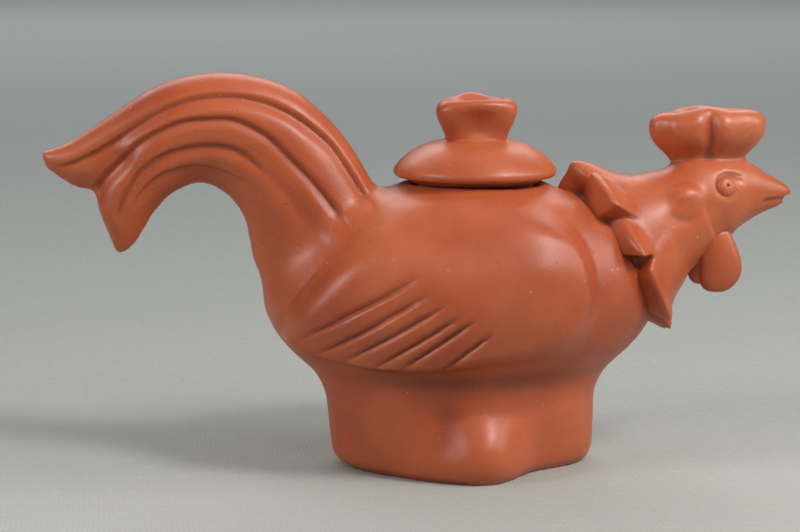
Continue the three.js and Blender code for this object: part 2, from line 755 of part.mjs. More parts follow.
/** The belly's outward direction at a point on its right side. */
function sideNormal(x, height) {
  const step = WALL * 0.2;
  const along = sidePoint(x + step, height).sub(sidePoint(x - step, height));
  const up = sidePoint(x, height + step).sub(sidePoint(x, height - step));
  return along.cross(up).normalize();
}

// [length share, lower edge share, upper edge share, thickness share] from the wing's rear tip to its front
const wingShares = [
  [0, 0.2, 0.27, 0.5], [0.05, 0.14, 0.4, 0.72], [0.13, 0.06, 0.61, 0.88], [0.26, 0.01, 0.79, 0.97],
  [0.4, 0, 0.9, 1], [0.52, 0.01, 0.96, 1], [0.64, 0.04, 0.99, 1], [0.78, 0.06, 0.97, 1],
  [0.9, 0.11, 0.88, 0.97], [0.97, 0.22, 0.74, 0.8], [1, 0.36, 0.56, 0.4],
];
// [height share, thickness share] across the wing, from its crisp lower edge to its faded upper edge
const wingRowShares = [
  [0, 0.7], [0.05, 0.94], [0.16, 1], [0.32, 1], [0.5, 0.92], [0.68, 0.74], [0.86, 0.44], [1, 0.16],
];

/** A height on the wing, from its lowest level up to its highest. */
function wingLevel(share) {
  const low = BELLY_HEIGHT - WING_BELOW_BELLY;
  return low + (SHOULDER_HEIGHT - WING_BELOW_SHOULDER - low) * share;
}

/** A point of the wing's skin, on the belly or out on the pad, from shares of its length and height. */
function wingPoint(station, row, raised) {
  const [along, low, high, thickness] = station;
  const [across, rowThickness] = row;
  const x = WING_FRONT - WING_LENGTH * (1 - along);
  const height = wingLevel(low + (high - low) * across);
  const rise = SLIP_GAP + (raised ? WING_THICKNESS * thickness * rowThickness : 0);
  return sidePoint(x, height).addScaledVector(sideNormal(x, height), rise);
}

// [rear length share, rear height share, front length share, front height share] of each groove
const grooveShares = [
  [0.04, 0.2, 0.435, 0.63], [0.1, 0.1, 0.47, 0.54], [0.19, 0.06, 0.52, 0.47], [0.3, 0.04, 0.565, 0.39],
  [0.385, 0.03, 0.615, 0.37], [0.505, 0.0, 0.66, 0.265],
];

/** A groove's cutter: a wedge along the wing's face that thins out towards the front. */
function grooveCutter([rearAlong, rearUp, frontAlong, frontUp]) {
  const rings = [-0.14, 0.05, 0.3, 0.55, 0.8, 1].map((share) => {
    const x = WING_FRONT - WING_LENGTH * (1 - rearAlong - (frontAlong - rearAlong) * share);
    const height = wingLevel(rearUp + (frontUp - rearUp) * share);
    const normal = sideNormal(x, height);
    const face = sidePoint(x, height).addScaledVector(normal, SLIP_GAP + WING_THICKNESS);
    const fade = share > 0.3 ? 1 - (share - 0.3) / 0.72 : 1;
    const rise = wingLevel(frontUp) - wingLevel(rearUp);
    const across = new THREE.Vector3(-rise, 0, (frontAlong - rearAlong) * WING_LENGTH).normalize();
    const corner = (side, lift) =>
      face.clone().addScaledVector(across, side).addScaledVector(normal, lift);
    const half = (GROOVE_WIDTH / 2) * (0.35 + 0.65 * fade);
    return [
      corner(-half * 1.6, GROOVE_DEPTH * 0.6),
      corner(half * 0.3, -GROOVE_DEPTH * fade),
      corner(half, GROOVE_DEPTH * 0.6),
    ];
  });
  return loft(rings);
}

/** The right wing: a pad that follows the belly, with its grooves cut. */
function wingGeometry() {
  const stations = smoothRows(wingShares, WING_STEPS);
  const rows = smoothRows(wingRowShares, WING_ROWS);
  const rings = stations.map((station) => [
    ...rows.map((row) => wingPoint(station, row, true)),
    ...rows.toReversed().map((row) => wingPoint(station, row, false)),
  ]);
  return cut(loft(rings), ...grooveShares.map(grooveCutter));
}

// Tail: five locks side by side, each between two edges

// [reach share, rise share] of each edge from inside the belly to the tips
const crownShares = [
  [-0.68, 0.16], [-0.51, 0.49], [-0.35, 0.74], [-0.13, 0.93], [0.17, 1],
  [0.45, 0.95], [0.68, 0.812], [0.86, 0.7], [0.985, 0.66],
];
const firstCutShares = [
  [-0.64, 0.08], [-0.47, 0.45], [-0.3, 0.7], [-0.08, 0.86], [0.19, 0.91],
  [0.43, 0.865], [0.64, 0.725], [0.84, 0.63], [0.995, 0.622],
];
const secondCutShares = [
  [-0.52, -0.04], [-0.33, 0.31], [-0.18, 0.58], [0, 0.75], [0.2, 0.81],
  [0.39, 0.785], [0.59, 0.635], [0.79, 0.485], [0.97, 0.57],
];
const lowTipShares = [
  [-0.52, -0.04], [-0.33, 0.31], [-0.18, 0.58], [0, 0.75], [0.2, 0.81],
  [0.39, 0.785], [0.59, 0.64], [0.735, 0.46], [0.657, 0.2],
];
const thirdCutShares = [
  [-0.39, -0.16], [-0.17, 0.16], [-0.07, 0.41], [0.04, 0.61], [0.23, 0.67],
  [0.41, 0.66], [0.57, 0.6], [0.675, 0.43], [0.64, 0.205],
];
const fourthCutShares = [
  [-0.29, -0.2], [-0.07, 0.1], [0, 0.31], [0.09, 0.49], [0.24, 0.575],
  [0.41, 0.57], [0.55, 0.51], [0.65, 0.36], [0.635, 0.205],
];
const underShares = [
  [-0.17, -0.24], [0.03, 0.07], [0.05, 0.2], [0.1, 0.385], [0.255, 0.5],
  [0.39, 0.46], [0.475, 0.385], [0.565, 0.24], [0.62, 0.2],
];
// Half width of the tail at each station, as shares of its width at the arch
const tailWidthShares = [[1.35], [1.26], [1.14], [1.04], [1], [0.92], [0.75], [0.52], [0.2]];

// [outer edge, inner edge, width share, outer overlap share, inner overlap share] of each lock
const lockShares = [
  [crownShares, firstCutShares, 0.64, 0, 0.25],
  [firstCutShares, secondCutShares, 0.92, 0.2, 0.12],
  [lowTipShares, thirdCutShares, 1, 0.12, 0.14],
  [thirdCutShares, fourthCutShares, 0.95, 0.2, 0.2],
  [fourthCutShares, underShares, 0.76, 0.25, 0],
];

/** A point of the tail's outline in the pot's middle plane. */
function tailPoint([reachShare, riseShare]) {
  const tailRise = SHOULDER_HEIGHT + TAIL_OVER_SHOULDER - BELLY_HEIGHT;
  return new THREE.Vector3(-BELLY_REAR - TAIL_REACH * reachShare, 0, BELLY_HEIGHT + tailRise * riseShare);
}

/** One lock of the tail: full rounded sections swept between its two edges. */
function lockGeometry([outerShares, innerShares, widthShare, outerOverlap, innerOverlap]) {
  const outer = smoothRows(outerShares, LOCK_STEPS).map(tailPoint);
  const inner = smoothRows(innerShares, LOCK_STEPS).map(tailPoint);
  const widths = smoothRows(tailWidthShares, LOCK_STEPS);
  const rings = outer.map((high, i) => {
    const depth = high.clone().sub(inner[i]);
    const top = high.clone().addScaledVector(depth, outerOverlap);
    const bottom = inner[i].clone().addScaledVector(depth, -innerOverlap);
    const centre = top.clone().add(bottom).divideScalar(2);
    const half = top.clone().sub(bottom).divideScalar(2);
    const halfWidth = TAIL_HALF_WIDTH * widthShare * widths[i][0];
    return Array.from({ length: LOCK_SIDES }, (_, k) => {
      const angle = (2 * Math.PI * k) / LOCK_SIDES;
      const [c, s] = [Math.cos(angle), Math.sin(angle)];
      return centre.clone()
        .addScaledVector(half, Math.sign(c) * Math.abs(c) ** 0.75)
        .add(new THREE.Vector3(0, halfWidth * Math.sign(s) * Math.abs(s) ** 0.75, 0));
    });
  });
  return loft(rings);
}

/** The tail: its locks fused side by side and cut to the belly. */
function tailGeometry() {
  const fused = lockShares.map(lockGeometry).map(toSolid).reduce((all, lock) => all.add(lock));
  return toGeometry(largestBody(fused.subtract(toSolid(filledBelly(SLIP_GAP)))));
}

// Assembly

/** One named piece in its clay. */
function piece(name, geometry, finish) {
  geometry.computeVertexNormals();
  const mesh = new THREE.Mesh(geometry, new THREE.MeshStandardMaterial(finish));
  mesh.name = name;
  return mesh;
}

/** A piece on the right side and its mirror on the left. */
function pair(name, geometry, finish) {
  return [piece(`${name}_right`, geometry, finish), piece(`${name}_left`, mirrored(geometry), finish)];
}

const pot = new THREE.Group();
pot.add(
  piece("foot", footGeometry(), SHADED_CLAY),
  piece("body_shell", bodyShellGeometry(), CLAY),
  piece("mouth_rim", mouthRimGeometry(), CLAY),
  piece("tail_handle", tailGeometry(), SHADED_CLAY),
  piece("neck", neckGeometry(), CLAY),
  piece("head", headGeometry(), POLISHED_CLAY),
  piece("comb", combGeometry(), CLAY),
  ...pair("wattle", wattleGeometry(), POLISHED_CLAY),
  ...pair("ear_lobe", earLobeGeometry(), CLAY),
  ...pair("eye", eyeGeometry(), POLISHED_CLAY),
  ...pair("wing", wingGeometry(), POLISHED_CLAY),
  ...collarGeometries().map((geometry, i) => piece(`collar_feather_${i + 1}`, geometry, CLAY)),
);

const lid = new THREE.Group();
lid.add(
  piece("lid_cover", lidCoverGeometry(), POLISHED_CLAY),
  piece("lid_flange", lidFlangeGeometry(), CLAY),
  piece("lid_knob", lidKnobGeometry(), CLAY),
);

const teapot = new THREE.Group();
teapot.add(pot, lid);
export default teapot;
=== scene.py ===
"""A chicken-shaped teapot of burnished unglazed clay, dressed over its solid model."""

import bisect
import json
import logging
import math
from collections.abc import Callable, Sequence
from dataclasses import dataclass, field
from enum import Enum

import bmesh
import bpy
from bmesh.types import BMesh, BMVert
from mathutils import Matrix, Vector
from mathutils.kdtree import KDTree


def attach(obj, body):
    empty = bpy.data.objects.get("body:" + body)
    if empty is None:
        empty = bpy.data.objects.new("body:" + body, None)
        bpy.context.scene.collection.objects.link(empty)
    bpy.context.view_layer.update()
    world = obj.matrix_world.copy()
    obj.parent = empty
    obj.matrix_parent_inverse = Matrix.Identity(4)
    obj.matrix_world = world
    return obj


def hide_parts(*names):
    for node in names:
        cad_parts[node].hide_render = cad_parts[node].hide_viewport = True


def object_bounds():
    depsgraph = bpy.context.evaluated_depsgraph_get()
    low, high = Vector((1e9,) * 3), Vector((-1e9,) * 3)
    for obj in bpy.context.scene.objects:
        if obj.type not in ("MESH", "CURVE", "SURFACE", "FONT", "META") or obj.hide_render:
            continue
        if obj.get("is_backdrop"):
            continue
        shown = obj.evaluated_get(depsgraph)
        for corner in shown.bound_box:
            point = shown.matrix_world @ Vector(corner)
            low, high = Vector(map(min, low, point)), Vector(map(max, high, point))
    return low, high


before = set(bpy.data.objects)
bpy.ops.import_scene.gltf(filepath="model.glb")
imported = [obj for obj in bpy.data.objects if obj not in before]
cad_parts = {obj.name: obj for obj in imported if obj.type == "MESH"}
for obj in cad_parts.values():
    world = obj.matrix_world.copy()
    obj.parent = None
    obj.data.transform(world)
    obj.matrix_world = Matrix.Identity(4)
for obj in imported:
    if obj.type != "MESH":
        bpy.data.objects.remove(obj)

LOG = logging.getLogger("teapot")
MILLIMETRE = 0.001
MERGE_DISTANCE = 1e-4
SHARP_EDGE = math.radians(50)
FINE_SIDES = 144

Row = tuple[float, ...]


class Side(Enum):
    """The bird's two sides, by the sign of Y."""

    RIGHT = -1
    LEFT = 1


class Body(Enum):
    """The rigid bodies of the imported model."""

    POT = "pot"
    LID = "lid"


# Numbers and curves


def curve_point(before: float, start: float, end: float, after: float, share: float) -> float:
    """A number on the smooth curve through four others, a share of the way from the second to the third."""
    slope = end - before
    bend = 2 * before - 5 * start + 4 * end - after
    twist = 3 * start - before - 3 * end + after
    return 0.5 * (2 * start + slope * share + bend * share * share + twist * share**3)


def smooth_rows(rows: Sequence[Row], per_span: int) -> list[Row]:
    """Make rows of numbers denser along a smooth curve through them.

    Args:
        rows: The chosen rows, each with the same number of columns.
        per_span: How many steps each span between two rows is divided into.

    Returns:
        The denser rows, the first and last unchanged.
    """
    first = tuple(2 * a - b for a, b in zip(rows[0], rows[1]))
    last = tuple(2 * a - b for a, b in zip(rows[-1], rows[-2]))
    padded = [first, *rows, last]
    dense = []
    for i in range(1, len(padded) - 2):
        columns = list(zip(padded[i - 1], padded[i], padded[i + 1], padded[i + 2]))
        for step in range(per_span):
            dense.append(tuple(curve_point(*column, step / per_span) for column in columns))
    dense.append(tuple(rows[-1]))
    return dense


def blend(first: Row, second: Row, share: float) -> Row:
    """The row of numbers part of the way from one row to another."""
    return tuple(a + (b - a) * share for a, b in zip(first, second))


def smooth_step(value: float) -> float:
    """An S-shaped rise from 0 to 1."""
    t = min(max(value, 0.0), 1.0)
    return t * t * (3 - 2 * t)


def bell(distance: float, width: float) -> float:
    """A soft bump that is 1 at no distance and fades over a width."""
    return math.exp(-((distance / width) ** 2))


class SideLine:
    """A smooth line on the bird's side view, which finds its own place nearest to a point."""

    def __init__(self, rows: Sequence[Row], closed: bool = False, per_span: int = 40) -> None:
        """Smooth the line and index it.

        Args:
            rows: Its points: place along the pot, height and any further values.
            closed: Whether it runs round to its start.
            per_span: How many steps each span between two points is divided into.
        """
        self.per_span = per_span
        self.rows = smooth_rows(rows, per_span)
        if closed:
            looped = smooth_rows([rows[-1], *rows, *rows[:2]], per_span)
            self.rows = looped[per_span:-per_span]
        self.tree = KDTree(len(self.rows))
        for i, row in enumerate(self.rows):
            self.tree.insert((row[0], row[1], 0.0), i)
        self.tree.balance()

    def near(self, x: float, z: float) -> tuple[float, float, Row]:
        """Find the nearest place of the line.

        Args:
            x: The point's place along the pot.
            z: The point's height.

        Returns:
            How far the point lies to the line's left, how many of its points the place is from
            the start, and the line's values there.
        """
        _, i, far = self.tree.find((x, z, 0.0))
        start, end = self.rows[max(i - 1, 0)], self.rows[min(i + 1, len(self.rows) - 1)]
        run_x, run_z = end[0] - start[0], end[1] - start[1]
        across = (run_x * (z - start[1]) - run_z * (x - start[0])) / math.hypot(run_x, run_z)
        if i in (0, len(self.rows) - 1):
            across = math.copysign(far, across)
        return across, i / self.per_span, self.rows[i]


@dataclass(frozen=True)
class Groove:
    """A line cut into the clay, with its own slope on each side.

    Attributes:
        line: Where it runs.
        depth: How deep it is.
        left: The width of its slope on the line's left.
        right: The width of its slope on the line's right.
        start: Where it begins, in the line's points.
        end: Where it ends, in the line's points.
        fade: Over how many points it fades at both ends.
    """

    line: SideLine
    depth: float
    left: float
    right: float
    start: float
    end: float
    fade: float

    def at(self, x: float, z: float) -> float:
        """The groove's depth at a point of the side view."""
        across, along, _ = self.line.near(x, z)
        ends = smooth_step((along - self.start) / self.fade) * smooth_step((self.end - along) / self.fade)
        return self.depth * ends * bell(across, self.left if across > 0 else self.right)


# Modelling in millimetres


def leaning(direction: Vector) -> Matrix:
    """The turn that leans the upright axis in a direction."""
    return Vector((0, 0, 1)).rotation_difference(direction).to_matrix().to_4x4()


class Model:
    """A mesh being shaped in millimetres, before it becomes a piece in metres."""

    def __init__(self) -> None:
        """Start an empty mesh."""
        self.mesh: BMesh = bmesh.new()

    def loft(self, rings: Sequence[Sequence[Vector]]) -> list[list[BMVert]]:
        """Draw a circle out through a series of rings, and close both ends.

        Args:
            rings: The points of each ring, all with the same count.

        Returns:
            The mesh's own vertices, ring by ring.
        """
        made = bmesh.ops.create_circle(self.mesh, cap_ends=True, segments=len(rings[0]), radius=1.0)
        ring = sorted(made["verts"], key=lambda vert: math.atan2(vert.co.y, vert.co.x))
        laid = [ring]
        for vert, point in zip(ring, rings[0]):
            vert.co = point
        for points in rings[1:]:
            edges = [self.mesh.edges.get((a, b)) for a, b in zip(ring, ring[1:] + ring[:1])]
            drawn = bmesh.ops.extrude_edge_only(self.mesh, edges=edges)
            fresh = {item for item in drawn["geom"] if isinstance(item, BMVert)}
            ring = [
                next(other for other in (edge.other_vert(vert) for edge in vert.link_edges) if other in fresh)
                for vert in ring
            ]
            for vert, point in zip(ring, points):
                vert.co = point
            laid.append(ring)
        edges = [self.mesh.edges.get((a, b)) for a, b in zip(ring, ring[1:] + ring[:1])]
        bmesh.ops.contextual_create(self.mesh, geom=edges)
        bmesh.ops.recalc_face_normals(self.mesh, faces=self.mesh.faces)
        return laid

    def turn(self, profile: Sequence[Row], steps: int, place: Matrix) -> None:
        """Spin a closed profile a full turn about an axis.

        Args:
            profile: Points of radius and height, the last joining the first.
            steps: How many steps the full turn takes.
            place: Where the axis stands and how it leans.
        """
        others = set(self.mesh.verts)
        verts = [self.mesh.verts.new((radius, 0.0, height)) for radius, height in profile]
        edges = [self.mesh.edges.new((a, b)) for a, b in zip(verts, verts[1:] + verts[:1])]
        bmesh.ops.spin(
            self.mesh, geom=verts + edges, cent=(0, 0, 0), axis=(0, 0, 1), dvec=(0, 0, 0),
            angle=2 * math.pi, steps=steps, use_merge=True, use_duplicate=False,
        )
        turned = [vert for vert in self.mesh.verts if vert not in others]
        bmesh.ops.remove_doubles(self.mesh, verts=turned, dist=MERGE_DISTANCE)
        turned = [vert for vert in self.mesh.verts if vert not in others]
        bmesh.ops.transform(self.mesh, matrix=place, verts=turned)
        bmesh.ops.recalc_face_normals(self.mesh, faces=self.mesh.faces)

    def ball(self, centre: Vector, size: Vector, tilt: float = 0.0) -> None:
        """Add an ellipsoid.

        Args:
            centre: Its centre.
            size: Its half sizes along X, Y and Z.
            tilt: Its tilt about the Y axis, in radians.
        """
        place = Matrix.Translation(centre) @ Matrix.Rotation(tilt, 4, "Y") @ Matrix.Diagonal((*size, 1.0))
        bmesh.ops.create_uvsphere(self.mesh, u_segments=32, v_segments=20, radius=1.0, matrix=place)

    def modified(self, kind: str, **settings: float | str | bpy.types.Object) -> None:
        """Run the mesh through one modifier and keep the result.

        Args:
            kind: The modifier's type.
            settings: Its settings.
        """
        data = bpy.data.meshes.new("working")
        self.mesh.to_mesh(data)
        block = bpy.data.objects.new("working", data)
        bpy.context.scene.collection.objects.link(block)
        modifier = block.modifiers.new("working", kind)
        for name, value in settings.items():
            setattr(modifier, name, value)
        result = bpy.data.meshes.new_from_object(block.evaluated_get(bpy.context.evaluated_depsgraph_get()))
        self.mesh.clear()
        self.mesh.from_mesh(result)
        bpy.data.objects.remove(block)
        bpy.data.meshes.remove(data)
        bpy.data.meshes.remove(result)

    def carve(self, tool: "Model") -> None:
        """Cut another model's solids out of this one."""
        data = bpy.data.meshes.new("tool")
        tool.mesh.to_mesh(data)
        tool.mesh.free()
        block = bpy.data.objects.new("tool", data)
        self.modified("BOOLEAN", object=block, operation="DIFFERENCE", solver="EXACT")
        bpy.data.objects.remove(block)
        bpy.data.meshes.remove(data)

    def fuse(self, voxel: float) -> None:
        """Melt all the solids in the mesh into one skin of small even faces."""
        self.modified("REMESH", mode="VOXEL", voxel_size=voxel)

    def refine(self, where: Callable[[Vector], bool]) -> None:
        """Halve the faces in one place, for finer forms."""
        faces = [face for face in self.mesh.faces if where(face.calc_center_median())]
        edges = list({edge for face in faces for edge in face.edges})
        bmesh.ops.subdivide_edges(self.mesh, edges=edges, cuts=1, use_grid_fill=True)

    def thin(self, most: int) -> None:
        """Spare faces where the surface is flat, down to a number of triangles."""
        triangles = sum(len(face.verts) - 2 for face in self.mesh.faces)
        if triangles > most:
            self.modified("DECIMATE", ratio=most / triangles)

    def soften(self, passes: int, where: Callable[[Vector], bool] | None = None) -> None:
        """Rub the surface smooth.

        Args:
            passes: How many times it is rubbed.
            where: Which places are rubbed, or all of them where it isn't given.
        """
        verts = [vert for vert in self.mesh.verts if where is None or where(vert.co)]
        for _ in range(passes):
            bmesh.ops.smooth_vert(
                self.mesh, verts=verts, factor=0.5, use_axis_x=True, use_axis_y=True, use_axis_z=True,
            )

    def press(self, rise: Callable[[Vector, Vector], float]) -> None:
        """Move each vertex along its normal, by a rise worked out from its place and its normal."""
        self.mesh.normal_update()
        moves = [(vert, vert.normal * rise(vert.co, vert.normal)) for vert in self.mesh.verts]
        for vert, move in moves:
            vert.co += move

    def mirrored(self) -> None:
        """Turn the mesh into its mirror image on the bird's other side."""
        bmesh.ops.scale(self.mesh, vec=(1, -1, 1), verts=self.mesh.verts)
        bmesh.ops.reverse_faces(self.mesh, faces=self.mesh.faces)

    def mark_relief(self, passes: int, full: float) -> None:
        """Store how hollow or proud each point is, for painted shade in hollows, paler ridges (partly wear,
        partly painted highlight) and polish.

        Args:
            passes: How many smoothing passes the surface is compared after.
            full: The movement in millimetres that counts as fully hollow or proud.
        """
        self.mesh.normal_update()
        hollow = self.mesh.verts.layers.float.new("hollow")
        proud = self.mesh.verts.layers.float.new("proud")
        start = [(vert.co.copy(), vert.normal.copy()) for vert in self.mesh.verts]
        self.soften(passes)
        for vert, (place, normal) in zip(self.mesh.verts, start):
            sunk = (vert.co - place).dot(normal) / full
            vert[hollow] = min(max(sunk, 0.0), 1.0)
            vert[proud] = min(max(-sunk, 0.0), 1.0)
        for vert, (place, _) in zip(self.mesh.verts, start):
            vert.co = place

    def finished(self, name: str, body: Body, finish: "ClayFinish", nodes: Sequence[str]) -> bpy.types.Object:
        """Turn the mesh into a dressed piece in metres.

        Args:
            name: The piece's name.
            body: The body that it rides on.
            finish: The clay that it is dressed in.
            nodes: The solid nodes that it stands for.

        Returns:
            The piece.
        """
        for edge in self.mesh.edges:
            edge.smooth = edge.calc_face_angle(0.0) < SHARP_EDGE
        bmesh.ops.scale(self.mesh, vec=(MILLIMETRE,) * 3, verts=self.mesh.verts)
        data = bpy.data.meshes.new(name)
        self.mesh.to_mesh(data)
        self.mesh.free()
        data.shade_smooth()
        data.materials.append(finish.material())
        piece = bpy.data.objects.new(name, data)
        bpy.context.scene.collection.objects.link(piece)
        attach(piece, body.value)
        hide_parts(*nodes)
        LOG.info("%s: %d faces, stands for %s", name, len(data.polygons), ", ".join(nodes))
        return piece


# Clay


def linear(colour: Sequence[float]) -> tuple[float, float, float, float]:
    """A display colour from 0 to 255 as the linear colour that a shader takes."""
    shares = [value / 255 for value in colour]
    return (*(v / 12.92 if v <= 0.04045 else ((v + 0.055) / 1.055) ** 2.4 for v in shares), 1.0)


@dataclass(frozen=True)
class Grain:
    """One size of unevenness, as a noise on the piece's own coordinates.

    Attributes:
        scale: How many times it varies over a metre.
        detail: How many finer layers it has.
        roughness: How strong the finer layers are.
    """

    scale: float
    detail: float
    roughness: float


CLOUDS = Grain(34, 4, 0.55)
EMBERS = Grain(17, 3, 0.5)
MOTTLE = Grain(210, 5, 0.6)
FINE_GRAIN = Grain(1500, 3, 0.6)
SAND = Grain(3400, 2, 0.5)
SPECKS = Grain(980, 1, 0.3)
HAND_WAVES = Grain(95, 2, 0.4)
SLUBS = Grain(420, 3, 0.6)

THREAD_SCALE = 290
SPECK_COLOUR = (232, 178, 140)
# Painted shade: the cloth's colour darkens into the distance, standing for the light falling off.
CLOTH_SHADE_BY_DISTANCE = (
    (0.0, (172, 173, 167)), (0.05, (161, 162, 157)), (0.13, (157, 159, 156)), (0.3, (148, 151, 150)),
    (1.0, (142, 146, 145)),
)
THREAD_GAP_COLOUR = (112, 110, 102)
SLUB_COLOUR = (196, 193, 180)


@dataclass(frozen=True)
class ClayFinish:
    """Burnished unglazed clay: its colours, polish, grain and hand-worked unevenness.

    Attributes:
        slot: The record's material slot.
        body: The clay's main colour.
        deep: Its darker, more iron-rich clouds.
        pale: Its paler tone, in random clouds and grain, and on raised ridges, partly as rubbed wear and
            partly as painted highlight.
        ember: Its warmer patches, fired nearer the flame.
        shade_and_dark_grain: The dark colour painted into hollows as shade, and used for dark grains and
            pits.
        roughness: How matt the rubbed surface is.
    """

    slot: str
    body: Row
    deep: Row
    pale: Row
    ember: Row
    shade_and_dark_grain: Row
    roughness: float

    def material(self) -> bpy.types.Material:
        """The finish as a node material, made once."""
        name = f"{self.slot}_finish"
        if name in bpy.data.materials:
            return bpy.data.materials[name]
        made = bpy.data.materials.new(name)
        made.use_nodes = True
        tree = ShaderTree(made.node_tree)
        mottle, grain, sand = tree.noise(MOTTLE), tree.noise(FINE_GRAIN), tree.noise(SAND)
        specks = tree.noise(SPECKS)
        hollow, proud = tree.attribute("hollow"), tree.attribute("proud")

        cloud_stops = [(0.34, linear(self.deep)), (0.5, linear(self.body)), (0.68, linear(self.pale))]
        colour = tree.ramp(tree.noise(CLOUDS), cloud_stops)
        colour = tree.mix(tree.spread(tree.noise(EMBERS), 0.48, 0.7, 0.0, 0.45), colour, linear(self.ember))
        colour = tree.mix(tree.spread(mottle, 0.35, 0.75, 0.0, 0.22), colour, linear(self.deep))
        colour = tree.mix(tree.spread(grain, 0.52, 0.72, 0.0, 0.16), colour, linear(self.pale))
        colour = tree.mix(tree.spread(sand, 0.3, 0.42, 0.22, 0.0), colour, linear(self.shade_and_dark_grain))
        colour = tree.mix(tree.spread(specks, 0.77, 0.82, 0.0, 0.42), colour, linear(SPECK_COLOUR))
        colour = tree.mix(tree.spread(specks, 0.18, 0.23, 0.5, 0.0), colour, linear(self.shade_and_dark_grain))
        # Painted shade: hollows are darkened towards the dark shade colour.
        colour = tree.mix(tree.spread(hollow, 0.05, 0.9, 0.0, 0.72), colour, linear(self.shade_and_dark_grain))
        # Proud places made paler: partly wear, partly painted highlight.
        colour = tree.mix(tree.spread(proud, 0.15, 1.0, 0.0, 0.3), colour, linear(self.pale))

        rough = tree.sum(
            tree.spread(mottle, 0.3, 0.7, self.roughness - 0.04, self.roughness + 0.06),
            tree.spread(hollow, 0.1, 0.9, 0.0, 0.2),
            tree.spread(proud, 0.2, 1.0, 0.0, -0.05),
        )

        pits = tree.spread(specks, 0.18, 0.26, 0.0, 1.0)
        skin = tree.bump(tree.noise(HAND_WAVES), strength=0.3, distance=0.0006)
        skin = tree.bump(grain, strength=0.22, distance=0.00016, under=skin)
        skin = tree.bump(pits, strength=0.5, distance=0.0001, under=skin)
        skin = tree.bump(sand, strength=0.14, distance=0.00008, under=skin)

        shader = tree.shader
        tree.join(colour, shader.inputs["Base Color"])
        tree.join(rough, shader.inputs["Roughness"])
        tree.join(skin, shader.inputs["Normal"])
        shader.inputs["Specular IOR Level"].default_value = 0.5
        shader.inputs["IOR"].default_value = 1.45
        shader.inputs["Coat Weight"].default_value = 0.1
        shader.inputs["Coat Roughness"].default_value = 0.34
        return made


